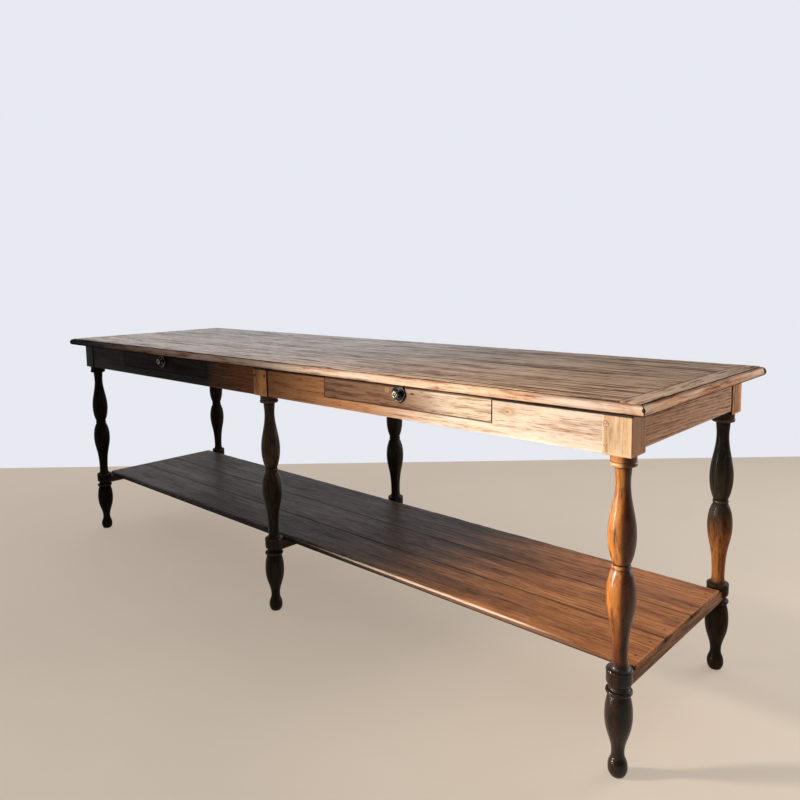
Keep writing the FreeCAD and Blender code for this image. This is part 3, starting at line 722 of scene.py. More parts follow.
class Flank:
    """One side of a board from its underside up: inward distance and height of each point, with its
    wear, its dirt and painted shade, and its looseness for nicks."""

    def __init__(self) -> None:
        """Start with no points."""
        self.runs: list[Array] = []

    def run(self, start: Pair, end: Pair, steps: int, worn: float = 0.0, dirt_and_shade: float = 0.0,
            loose: float = 0.0) -> None:
        """Points evenly along a straight line, without its end."""
        share = np.linspace(0, 1, steps, endpoint=False)[:, None]
        first, last = np.array([start, end])
        self._append(first + share * (last - first), worn, dirt_and_shade, loose)

    def arc(self, centre: Pair, radius: float, start: float, stop: float, steps: int, worn: float = 0.0,
            dirt_and_shade: float = 0.0, loose: float = 0.0) -> None:
        """Points on a circle from one angle to another in degrees, without its end."""
        turn = np.radians(np.linspace(start, stop, steps, endpoint=False))[:, None]
        places = np.asarray(centre) + radius * np.concatenate([np.cos(turn), np.sin(turn)], 1)
        self._append(places, worn, dirt_and_shade, loose)

    def rows(self, *last: float) -> Array:
        """All points, closed by a last one, as inward, height, worn, hollow, loose."""
        self._append(np.array([last]), 0.0, 0.0, 0.0)
        return np.concatenate(self.runs)

    def _append(self, places: Array, worn: float, dirt_and_shade: float, loose: float) -> None:
        """Store points with their masks."""
        masks = np.tile([worn, dirt_and_shade, loose], (len(places), 1))
        self.runs.append(np.concatenate([places, masks], 1))


def plain_flank(under: float, top: float, arris: float, fade: float, seam: float) -> Array:
    """A board's straight side with its upper corner rounded off.

    Args:
        under: height of the underside.
        top: height of the top face.
        arris: radius of the corner.
        fade: width beside the corner over which wear or dirt fades out.
        seam: 1 for a side that collects dirt, 0 for one that is rubbed.

    Returns:
        The flank's rows.
    """
    side = Flank()
    side.run((fade, under), (0.0, under), 2)
    side.run((0.0, under), (0.0, top - arris), 3, 0.4 * (1 - seam), seam)
    side.arc((arris, top - arris), arris, 180.0, 90.0, 4, 1 - seam, seam)
    side.run((arris, top), (fade, top), 3, 0.6 * (1 - seam), 0.45 * seam)
    return side.rows(fade, top)


def rim_flank(under: float, top: float, arris: float, fade: float, lip: float = 1.3) -> Array:
    """A board's side beside the moulding: a wall darkened by dirt and painted shade under a worn and nicked
    corner.

    Args:
        under: height of the underside.
        top: height of the top face.
        arris: radius of the corner.
        fade: width beside the corner over which the wear fades out.
        lip: where the last stretch of the wall begins, in radii under the top.

    Returns:
        The flank's rows.
    """
    side = Flank()
    side.run((fade, under), (0.0, under), 2)
    foot = top - lip * arris
    side.run((0.0, under), (0.0, foot), 5, 0.0, 1.0)
    side.run((0.0, foot), (0.0, top - arris), 1, 0.0, 1.0)
    side.arc((arris, top - arris), arris, 180.0, 90.0, 4, 1.0, 0.0, 1.0)
    side.run((arris, top), (fade, top), 3, 0.6, 0.0, 0.5)
    return side.rows(fade, top)


def closed_section(low_side: Array, high_side: Array, low: float, high: float, across: int) -> Array:
    """A board's whole section, against the clock: up its high side, back over the top, down its low
    side and along the underside.

    Args:
        low_side: flank at the lower end.
        high_side: flank at the higher end.
        low: where the lower flank lies.
        high: where the higher flank lies.
        across: points between the flanks, above and below.

    Returns:
        Rows of across, height, worn, hollow and loose.
    """
    up, down = high_side.copy(), low_side[::-1].copy()
    up[:, 0] = high - up[:, 0]
    down[:, 0] = low + down[:, 0]
    share = np.linspace(0, 1, across + 2)[1:-1, None]
    top = up[-1] + share * (down[0] - up[-1])
    under = down[-1] + share * (up[0] - down[-1])
    return np.concatenate([up, top, down, under])


def board_section(places: Sequence[float], number: int, outer: Array, joint: Array, gap: float,
                  across: int) -> Array:
    """The section of one of several boards that lie side by side.

    Args:
        places: where the boards begin and end, in order.
        number: which board, counted from 0.
        outer: flank at the first and the last place.
        joint: flank at the seams.
        gap: width of a seam.
        across: points between the flanks, above and below.

    Returns:
        Rows of across, height, worn, hollow and loose.
    """
    first, last = number == 0, number == len(places) - 2
    return closed_section(outer if first else joint, outer if last else joint,
                          places[number] + (0.0 if first else gap / 2),
                          places[number + 1] - (0.0 if last else gap / 2), across)


def rounded_square(low: Pair, high: Pair, arris: float, fade: float, steps: int) -> Array:
    """A square seen along its axis, against the clock, with rounded and worn corners.

    Args:
        low: lowest corner.
        high: highest corner.
        arris: radius of the corners.
        fade: width beside the corners over which the wear fades out.
        steps: points along each side.

    Returns:
        Rows of the two directions, worn, hollow and loose.
    """
    corner = Flank()
    reach = high[0] - low[0]
    corner.arc((-arris, -arris), arris, 0.0, 90.0, 4, 1.0, 0.0, 1.0)
    corner.run((-arris, 0.0), (-arris - fade, 0.0), 1, 0.7)
    corner.run((-arris - fade, 0.0), (arris + fade - reach, 0.0), steps)
    rows = corner.rows(arris + fade - reach, 0.0)
    centre = (np.asarray(low) + np.asarray(high)) / 2
    sides = []
    for quarter in range(4):
        side = rows.copy()
        x, y = rows[:, 0] + reach / 2, rows[:, 1] + reach / 2
        turn = math.radians(90.0 * quarter)
        side[:, 0] = centre[0] + x * math.cos(turn) - y * math.sin(turn)
        side[:, 1] = centre[1] + x * math.sin(turn) + y * math.cos(turn)
        sides.append(side)
    return np.concatenate(sides)


def section_normals(places: Array) -> Array:
    """Outward directions of an outline that runs against the clock: its tangent turned right."""
    tangent = np.roll(places, -1, 0) - np.roll(places, 1, 0)
    normal = np.stack([tangent[:, 1], -tangent[:, 0]], 1)
    return normal / np.maximum(np.linalg.norm(normal, axis=1, keepdims=True), 1e-9)


def end_steps(start: float, stop: float, radius: float, turns: Triple) -> tuple[Array, Array, Array]:
    """Stations of a quarter round at each end of a stretch, and how far each draws the section in: at
    a turn t, the radius times 1 less sin t along it, and times 1 less cos t inwards.

    Args:
        start: where the stretch begins.
        stop: where it ends.
        radius: of the round.
        turns: angles in degrees before the last, which is 0.

    Returns:
        The stations at the start, those at the end, and the draw-in of those at the start.
    """
    turn = np.radians(np.array([*turns, 0.0]))
    return (start + radius * (1 - np.sin(turn)), stop - radius * (1 - np.sin(turn[::-1])),
            radius * (1 - np.cos(turn)))


def carried(rows: Array, stations: Array, end_round: float, nick: Optional[Array] = None,
            end_seam: float = 0.0, along: Axis = Axis.X) -> Skin:
    """A section carried along an axis, drawn in at both ends by a small round.

    Args:
        rows: across and height of the outline's points, with their masks.
        stations: places along the axis.
        end_round: radius at both ends.
        nick: depth at each station by which loose points are pushed in.
        end_seam: 1 where the ends collect dirt.
        along: X or Y.

    Returns:
        The closed surface. A point is the section's point, less its outward direction times the
        nick and the end's round.
    """
    normal = section_normals(rows[:, :2])
    start, end, closing = end_steps(stations[0], stations[-1], end_round, (80.0, 55.0, 28.0))
    inner = stations[(stations > stations[0] + 2 * end_round) & (stations < stations[-1] - 2 * end_round)]
    places = np.concatenate([start, inner, end])
    near = np.concatenate([np.ones(len(start)), np.zeros(len(inner)), np.ones(len(end))])
    draw_in = np.concatenate([closing, np.zeros(len(inner)), closing[::-1]])
    shift = draw_in[:, None] + np.zeros(len(rows))
    if nick is not None:
        shift = shift + np.interp(places, stations, nick)[:, None] * rows[:, 4]
    flat = rows[None, :, :2] - normal[None] * shift[..., None]
    run = np.broadcast_to(places[:, None], flat.shape[:2])
    parts = (run, flat[..., 0], flat[..., 1]) if along is Axis.X else (flat[..., 0], run, flat[..., 1])
    worn = np.maximum(np.broadcast_to(rows[:, 2], flat.shape[:2]), near[:, None] * (1 - end_seam) * 0.8)
    dirt_and_shade = np.maximum(np.broadcast_to(rows[:, 3], flat.shape[:2]), near[:, None] * end_seam)
    return ring_skin(np.stack(parts, -1), worn * (1 - dirt_and_shade), dirt_and_shade)


class Outline:
    """Half outline of a turned piece, in radius and height, built curve after curve."""

    def __init__(self, radius: float, height: float) -> None:
        """Start at a point."""
        self.runs: list[Array] = [np.array([[radius, height]])]

    @property
    def end(self) -> Array:
        """The last point."""
        return self.runs[-1][-1]

    def curve(self, *poles: Pair, step: float = 0.0018) -> None:
        """A Bezier curve from the end through control points: the sum of the points, each times its
        Bernstein weight, at places about a step apart."""
        points = np.array([self.end, *poles])
        order = len(points) - 1
        length = np.linalg.norm(np.diff(points, axis=0), axis=1).sum()
        share = np.linspace(0, 1, max(2, int(length / step)) + 1)[1:, None]
        weights = [math.comb(order, k) * share ** k * (1 - share) ** (order - k) for k in range(order + 1)]
        self.runs.append(sum(weight * point for weight, point in zip(weights, points)))

    def line(self, radius: float, height: float) -> None:
        """A straight stretch."""
        self.curve((radius, height))

    def sway(self, radius: float, height: float, start_share: float, end_share: float) -> None:
        """A double curve that runs upright at both of its ends."""
        start_radius, start = self.end
        rise = height - start
        self.curve((start_radius, start + start_share * rise), (radius, height - end_share * rise),
                   (radius, height))

    def swell(self, radius: float, height: float) -> None:
        """A round that leaves aslant and ends upright."""
        start_radius, start = self.end
        rise = height - start
        out = radius - start_radius
        self.curve((start_radius + 0.45 * out, start + 0.18 * rise), (radius, height - 0.5 * rise),
                   (radius, height))

    def draw_in(self, radius: float, height: float) -> None:
        """A round that leaves upright and ends aslant."""
        start_radius, start = self.end
        rise = height - start
        out = start_radius - radius
        self.curve((start_radius, start + 0.5 * rise), (radius + 0.45 * out, height - 0.18 * rise),
                   (radius, height))

    def bead(self, radius: float, end_radius: float, height: float, steps: int = 14) -> None:
        """A round bead that stands out to a radius halfway up: half an ellipse over its chord."""
        start_radius, start = self.end
        turn = np.linspace(0, np.pi, steps + 1)[1:]
        chord = start_radius + (end_radius - start_radius) * (1 - np.cos(turn)) / 2
        radii = chord + (radius - (start_radius + end_radius) / 2) * np.sin(turn)
        heights = start + (height - start) * (1 - np.cos(turn)) / 2
        self.runs.append(np.stack([radii, heights], 1))

    def points(self) -> Array:
        """All points of the outline."""
        return np.concatenate(self.runs)


def relief_masks(profile: Array, reach: float, depth: float) -> tuple[Array, Array]:
    """Ridges and hollows of a profile: how far it stands out of or behind its own mean over a reach
    along it, measured along its outward direction, as shares of a depth.

    Args:
        profile: radius and height of each point.
        reach: width of the mean.
        depth: difference that counts as a full ridge or hollow.

    Returns:
        The worn and the hollow mask, one number for each point.
    """
    steps = np.linalg.norm(np.diff(profile, axis=0), axis=1)
    run = np.concatenate([[0.0], np.cumsum(steps)])
    fine = np.linspace(0, run[-1], max(8, int(run[-1] / (reach / 10))))
    spread = reach / (fine[1] - fine[0])
    offsets = np.arange(-int(3 * spread), int(3 * spread) + 1)
    weights = np.exp(-(offsets / spread) ** 2 / 2)
    even, means = [], []
    for column in profile.T:
        even.append(np.interp(fine, run, column))
        padded = np.pad(even[-1], len(offsets) // 2, mode="edge")
        means.append(np.convolve(padded, weights / weights.sum(), mode="valid"))
    out_radius, out_height = np.gradient(means[1]), -np.gradient(means[0])
    size = np.maximum(np.hypot(out_radius, out_height), 1e-12)
    stand = ((even[0] - means[0]) * out_radius + (even[1] - means[1]) * out_height) / size
    over = np.interp(run, fine, stand) / depth
    return np.clip(over, 0, 1), np.clip(-over, 0, 1)


def lathe(profile: Array, centre: Pair, turns: int, worn: Array, dirt_and_shade: Array,
          seed: int = 0, sag: float = 0.0) -> Skin:
    """A profile turned about an upright axis: x = centre + r cos a, y = centre + r sin a, z = height,
    where the radius r is less a small oval and a slow wander of the surface.

    Args:
        profile: radius and height, from the lower to the upper pole.
        centre: x and y of the axis.
        turns: points round the axis.
        worn: mask for each point of the profile.
        dirt_and_shade: mask for each point of the profile.
        seed: choice of the wander.
        sag: largest share of the radius that is lost.

    Returns:
        The closed surface.
    """
    angle = np.linspace(0, 2 * np.pi, turns, endpoint=False)[None]
    radius, height = profile[:, :1], profile[:, 1:]
    oval = 0.5 + 0.5 * np.cos(2 * angle + seed)
    wander = 0.5 + 0.5 * np.sin(3 * angle + 2 * np.pi * ripple(height, 0.31, seed) * 2)
    true = radius * (1 - sag * (0.6 * oval + 0.4 * wander))
    rings = np.stack([centre[0] + true * np.cos(angle), centre[1] + true * np.sin(angle),
                      np.broadcast_to(height, true.shape)], -1)
    shape = true.shape
    return ring_skin(rings, np.broadcast_to(worn[:, None], shape),
                     np.broadcast_to(dirt_and_shade[:, None], shape))


def dress(node: str, finish: Finish, **changes: Any) -> None:
    """Give a CAD node that stays a better material.

    Args:
        node: the node's name.
        finish: its finish.
        changes: fields in which this node's finish differs, such as its name.
    """
    finish = replace(finish, **changes)
    low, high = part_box(node)
    material = finish.material((tuple(low), tuple(high)))
    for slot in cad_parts[node].material_slots:
        slot.material = material
    log.info("node %s: finish %s", node, finish.name)


# Palettes of the table's wood. Most are lit and shaded copies of one oak: the pale ones are painted
# light, for wood in the lamp's light on the right, and the darkest are painted shade, for wood on the
# left and under the top.

WEATHERED = Palette((0.070, 0.034, 0.017), (0.295, 0.172, 0.102), (0.46, 0.31, 0.20),
                    bare=(0.42, 0.27, 0.17))
RUBBED = Palette((0.12, 0.042, 0.018), (0.42, 0.205, 0.108), (0.60, 0.38, 0.24),
                 bare=(0.66, 0.53, 0.445))
HONEY = Palette((0.24, 0.137, 0.074), (0.52, 0.395, 0.305), (0.65, 0.545, 0.455), bare=(0.68, 0.58, 0.49))
PEACH = Palette((0.40, 0.225, 0.105), (0.66, 0.435, 0.250), (0.76, 0.55, 0.36), bare=(0.74, 0.50, 0.29))
FAWN = Palette((0.14, 0.046, 0.018), (0.52, 0.25, 0.128), (0.70, 0.40, 0.23), bare=(0.70, 0.45, 0.28))
GOLDEN = Palette((0.08, 0.022, 0.006), (0.64, 0.240, 0.066), (0.88, 0.42, 0.14), bare=(0.80, 0.44, 0.20))
AMBER = Palette((0.07, 0.020, 0.004), (0.33, 0.108, 0.020), (0.55, 0.22, 0.05), bare=(0.72, 0.44, 0.22))
RUSSET = Palette((0.080, 0.027, 0.010), (0.27, 0.115, 0.050), (0.43, 0.225, 0.115),
                 bare=(0.48, 0.28, 0.15))
UMBER = Palette((0.010, 0.006, 0.0035), (0.040, 0.022, 0.012), (0.085, 0.050, 0.029),
                bare=(0.17, 0.10, 0.06))
# Near-black palettes: painted shade for the pieces in deep shade on the left, at the back and under the top.
SHADED_OAK = Palette((0.006, 0.0045, 0.0035), (0.020, 0.015, 0.011), (0.042, 0.032, 0.024),
                 bare=(0.11, 0.075, 0.05))
DEEP_SHADED_OAK = Palette((0.003, 0.0022, 0.0018), (0.010, 0.0075, 0.0055), (0.022, 0.016, 0.012),
                bare=(0.05, 0.035, 0.024))
WALNUT = Palette((0.017, 0.009, 0.006), (0.062, 0.034, 0.021), (0.125, 0.076, 0.049),
                 bare=(0.120, 0.072, 0.046))
DUSTY = Palette((0.12, 0.075, 0.042), (0.30, 0.205, 0.125), (0.42, 0.31, 0.205), bare=(0.48, 0.37, 0.26))

# The front face of aprons and drawers, the painted shadow line under the top's edge, and shared finishes

FRONT = -0.313
# Painted shadow: a near-black band just under the top's overhang.
UNDER_EDGE_SHADE = Fade(Axis.Z, 0.7765, 0.7782, (0.06, 0.05, 0.04), 0.0)
# The top's fades paint light: paler and greyer towards the left, a painted sheen of the bright backdrop, and
# lighter towards the front.
TOP_OAK = Oak("weathered_top", Slot.TOP, WEATHERED, Grain(Axis.X, (0.0, 0.70), 0.012, 0.007, 0.02),
              figure=0.08, streak=1.15, dash=0.85, dash_size=(5.0, 95.0), fleck=0.60,
              fleck_size=(14.0, 150.0), pore=0.22, patina=0.30, wear=0.6, grime=1.0, crack=0.8,
              scratch=0.35, relief=0.45, roughness=0.55, sheen=0.06, coat=0.66, coat_roughness=0.26,
              coat_along=(1.05, -0.10), fades=(Fade(Axis.X, 0.7, -0.9, (1.15, 1.35, 1.60), 0.1),
                                               Fade(Axis.Y, 0.15, -0.30, (1.32, 1.24, 1.18), 0.03)))
# Its pale palette is painted light: the front wood as it looks in the lamp's light on the right bay.
FRONT_OAK = Oak("apron", Slot.APRON, HONEY, Grain(Axis.X, (0.66, 0.40), 0.02, 0.006, 0.012),
                figure=0.12, streak=0.42, dash=0.22, dash_size=(6.0, 120.0), fleck=0.25,
                fleck_size=(30.0, 330.0), pore=0.28, patina=0.26, relief=0.45, roughness=0.50,
                sheen=0.10, coat=0.0)
NAIL_IRON = DarkMetal("nail_iron", Slot.NAIL, (0.03, 0.026, 0.022), (0.16, 0.14, 0.12), 0.6, 0.8)


def face_mark(x: float, z: float, reach: Pair, colour: Triple, strength: float, soft: float) -> Mark:
    """A mark on the front face of the aprons and drawers.

    Args:
        x: its place along the table.
        z: its height.
        reach: half its length and half its height.
        colour: its colour.
        strength: how far it covers the wood.
        soft: how much of it is a soft border.

    Returns:
        The mark.
    """
    depth = 0.02
    return Mark((x, FRONT, z), (reach[0], depth, reach[1]), colour, strength, soft)


# Pieces of the table

@dataclass
class TableTop:
    """Four long boards between two breadboard ends, framed by a mitred edge moulding."""
    half_length: float = 1.250
    half_width: float = 0.360
    height: float = 0.815
    thickness: float = 0.025
    end_width: float = 0.058
    seams: tuple[float, ...] = (-0.1656, 0.0, 0.1872)
    seam_gap: float = 0.0003
    step: float = 0.0025
    inset: float = 0.01325
    upper: float = 0.01125
    lower: float = 0.009
    arris: float = 0.0009
    dirt: float = 0.005
    pitch: float = 0.005
    warp: float = 0.0009
    warp_waves: Pair = (0.9, 0.11)
    mitre_gap: float = 0.0003
    end_dirt: float = 0.55
    board_nicks: Nicks = (60, 0.015, 0.0012)
    end_nicks: Nicks = (18, 0.012, 0.0012)
    strip_nicks: Nicks = (70, 0.013, 0.0024)
    strip_pitch: float = 0.004
    strip_wander: Pair = (0.0008, 0.23)
    mitre_steps: Triple = (0.0, 0.0008, 0.002)
    strip_crease: float = 50.0
    across: int = 12
    end_across: int = 8
    end_heart: Pair = (1.22, 0.72)
    spot_depth: float = 0.05
    body: str = "frame"

    @property
    def under(self) -> float:
        """Height of the underside."""
        return self.height - self.thickness

    @property
    def deck(self) -> Pair:
        """Half length and half width of the boarded part inside the moulding."""
        return self.half_length - self.inset, self.half_width - self.inset

    @property
    def places(self) -> tuple[float, ...]:
        """Where the long boards begin and end across the table."""
        return (-self.deck[1], *self.seams, self.deck[1])

    def sagged(self, skin: Skin, seed: int) -> Skin:
        """The skin with its top face lowered by a slow wander along and across the table."""
        x, y, z = skin.points.T
        share = np.clip((z - self.under) / self.thickness, 0, 1) ** 8
        wave, cross_wave = self.warp_waves
        skin.points[:, 2] -= self.warp * share * ripple(x, wave, seed) * ripple(y, cross_wave, seed + 10)
        return skin

    def board(self, number: int, finish: Oak) -> None:
        """Build one long board: its section carried between the breadboard ends."""
        reach = self.half_length - self.end_width
        stations = np.linspace(-reach, reach, int(2 * reach / self.pitch))
        joint = plain_flank(self.under, self.height, self.arris, self.dirt, 1.0)
        rim = rim_flank(self.under, self.height, self.arris, self.dirt)
        rows = board_section(self.places, number - 1, rim, joint, self.seam_gap, self.across)
        nick = dents(stations, -reach, reach, *self.board_nicks, 40 + number)
        skin = self.sagged(carried(rows, stations, self.arris, nick, self.end_dirt), 70 + number)
        skin.make("top_plank_%d" % number, finish, self.body, ["top_board_%d" % number])

    def end_board(self, side: Side, finish: Oak) -> None:
        """Build one breadboard end: its section carried across the table, with a dirty joint to the
        boards and a worn rim over a wall darkened by dirt and painted shade."""
        inner = self.half_length - self.end_width + self.seam_gap
        outer, reach = self.deck
        joint = plain_flank(self.under, self.height, self.arris, self.dirt, self.end_dirt)
        rim = rim_flank(self.under, self.height, self.arris, self.dirt)
        if side is Side.RIGHT:
            rows = closed_section(joint, rim, inner, outer, self.end_across)
        else:
            rows = closed_section(rim, joint, -outer, -inner, self.end_across)
        stations = np.linspace(-reach, reach, int(2 * reach / self.pitch))
        nick = dents(stations, -reach, reach, *self.end_nicks, 90 + side.value)
        skin = self.sagged(carried(rows, stations, self.arris, nick, 0.0, Axis.Y), 76 + side.value)
        skin.make("top_end_%s" % side.word, finish, self.body, ["breadboard_end_%s" % side.word])

    def moulding(self) -> Array:
        """Section of the moulding, as inward distance and height: underside, lower round, land, upper
        round, ledge and the back against the boards."""
        ledge = self.height - self.step
        nose, land = ledge - self.upper, self.under + self.lower
        back = self.inset - self.seam_gap
        side = Flank()
        side.run((back, self.under), (self.lower, self.under), 2)
        # The lower round is masked dark: painted shade under the nose.
        side.arc((self.lower, land), self.lower, -90.0, -148.0, 7, 0.0, 1.0)
        side.arc((self.lower, land), self.lower, -148.0, -180.0, 4, 0.4, 0.0, 0.5)
        side.run((0.0, land), (0.0, nose), 2, 0.8, 0.0, 1.0)
        side.arc((self.upper, nose), self.upper, 180.0, 130.0, 7, 0.9, 0.0, 1.0)
        side.arc((self.upper, nose), self.upper, 130.0, 90.0, 6, 0.25, 0.0, 0.6)
        # The ledge is masked dark: dirt and painted shade in the quirk beside the boards.
        side.run((self.upper, ledge), (back, ledge), 2, 0.0, 1.0)
        return side.rows(back, ledge)

    def strip(self, facing: Axis, sign: int, finish: Oak) -> None:
        """Build one strip of moulding: each point of the section runs along its side as far as the
        corner less its inward distance, which mitres both ends.

        Args:
            facing: the axis that the strip faces.
            sign: 1 for the side at higher values, -1 for the other.
            finish: the strip's finish.
        """
        sides = (self.half_length, self.half_width)
        across, reach = sides if facing is Axis.X else sides[::-1]
        rows = self.moulding()
        middle = np.linspace(-1, 1, int(2 * reach / self.strip_pitch))
        end = 1 - np.array(self.mitre_steps) / reach
        share = np.concatenate([-end, middle[1:-1], end[::-1]])
        seed = 2 * facing.value + sign
        per_reach, width, depth = self.strip_nicks
        wander, wave = self.strip_wander
        nick = (dents(share * reach, -reach, reach, int(per_reach * reach), width, depth, 140 + seed)
                + wander * ripple(share * reach, wave, 160 + seed))
        inward = rows[:, 0] + nick[:, None] * rows[:, 4]
        along = share[:, None] * (reach - self.mitre_gap - inward)
        away = sign * (across - inward)
        height = np.broadcast_to(rows[:, 1], along.shape)
        rings = np.stack((along, away, height) if facing is Axis.Y else (away, along, height), -1)
        # Near the mitres the strip is masked dark: dirt and painted shade in the mitre joints.
        near = (np.abs(share) > end[1] - 1e-9)[:, None]
        worn = np.where(near, 0.0, rows[:, 2])
        dirt_and_shade = np.where(near, 1.0, rows[:, 3])
        words = ("left", "right") if facing is Axis.X else ("front", "back")
        name = words[sign > 0]
        skin = ring_skin(rings, worn, dirt_and_shade)
        skin.make("moulding_%s" % name, replace(finish, name="moulding_%s" % name, seed=100.0 + seed),
                  self.body, ["edge_moulding_%s" % name], self.strip_crease)

    def build(self) -> None:
        """Build and dress the boards, the ends, the moulding and the pegs."""
        spots = {2: (self.spot(0.02, -0.06, (0.030, 0.006), (0.03, 0.02, 0.014), 0.8),
                     self.spot(0.19, -0.11, (0.016, 0.006), (0.03, 0.02, 0.014), 0.8)),
                 4: (self.spot(0.905, 0.275, (0.030, 0.016), (0.020, 0.012, 0.008)),
                     self.spot(0.60, 0.245, (0.018, 0.007), (0.035, 0.020, 0.013), 0.8))}
        for number in range(1, len(self.places)):
            middle = (self.places[number - 1] + self.places[number]) / 2
            grain = replace(TOP_OAK.grain, heart=(middle + 0.02 * (number - 2), 0.70 - 0.03 * number))
            self.board(number, replace(TOP_OAK, name="weathered_top_%d" % number, seed=13.7 * number,
                                       grain=grain, marks=spots.get(number, ())))
        for side in Side:
            grain = replace(self.end_grain(side), lean=0.03, wander=0.012)
            self.end_board(side, replace(TOP_OAK, name="weathered_end_%s" % side.word, grain=grain,
                                         seed=71.0 + side.value))
        self.edge()
        dress("breadboard_pegs", Oak("breadboard_peg_oak", Slot.PEG, RUSSET, Grain(Axis.Z), 3.0))

    def spot(self, x: float, y: float, reach: Pair, colour: Triple, strength: float = 0.9) -> Mark:
        """A dark spot on the top face."""
        return Mark((x, y, self.height), (*reach, self.spot_depth), colour, strength)

    def end_grain(self, side: Side) -> Grain:
        """The grain of what runs across the table at one end."""
        return Grain(Axis.Y, (side.value * self.end_heart[0], self.end_heart[1]))

    def edge(self) -> None:
        """Build and dress the strips of moulding: painted shade towards the left, painted light on the right
        end's face, and nicked at the right.
        """
        # Painted shade: the strips darken towards the left end, the back strip less.
        dark = Fade(Axis.X, -0.05, -1.2, (0.07, 0.10, 0.16), 0.05)
        nick = Mark((1.2475, -0.3575, 0.8045), (0.005, 0.005, 0.007), (0.02, 0.012, 0.008), 0.95, 0.4)
        corner = Mark((1.2475, 0.3525, 0.803), (0.008, 0.020, 0.012), (0.03, 0.02, 0.015), 0.85, 0.5)
        edge = replace(TOP_OAK, palette=RUBBED, figure=0.15, streak=0.7, dash=0.30, fleck=0.45, wear=0.9,
                       scratch=0.0, roughness=0.45, sheen=0.0, coat=0.0, coat_along=None,
                       marks=(nick, corner), fades=(dark,))
        self.strip(Axis.Y, -1, edge)
        self.strip(Axis.Y, 1, replace(edge, fades=(replace(dark, tint=(0.42, 0.40, 0.40)),)))
        # Painted light and shade on the end strips: the left strip is lifted behind its dark front end, and
        # the right strip's outer face is lighter.
        painted_tones = {Side.LEFT: Fade(Axis.Y, -0.33, -0.15, (5.0, 4.0, 3.0), 0.0),
                 Side.RIGHT: Fade(Axis.X, 1.244, 1.245, (1.60, 1.46, 1.36), 0.0)}
        for side, tone in painted_tones.items():
            self.strip(Axis.X, side.value, replace(edge, grain=self.end_grain(side), fades=(dark, tone)))


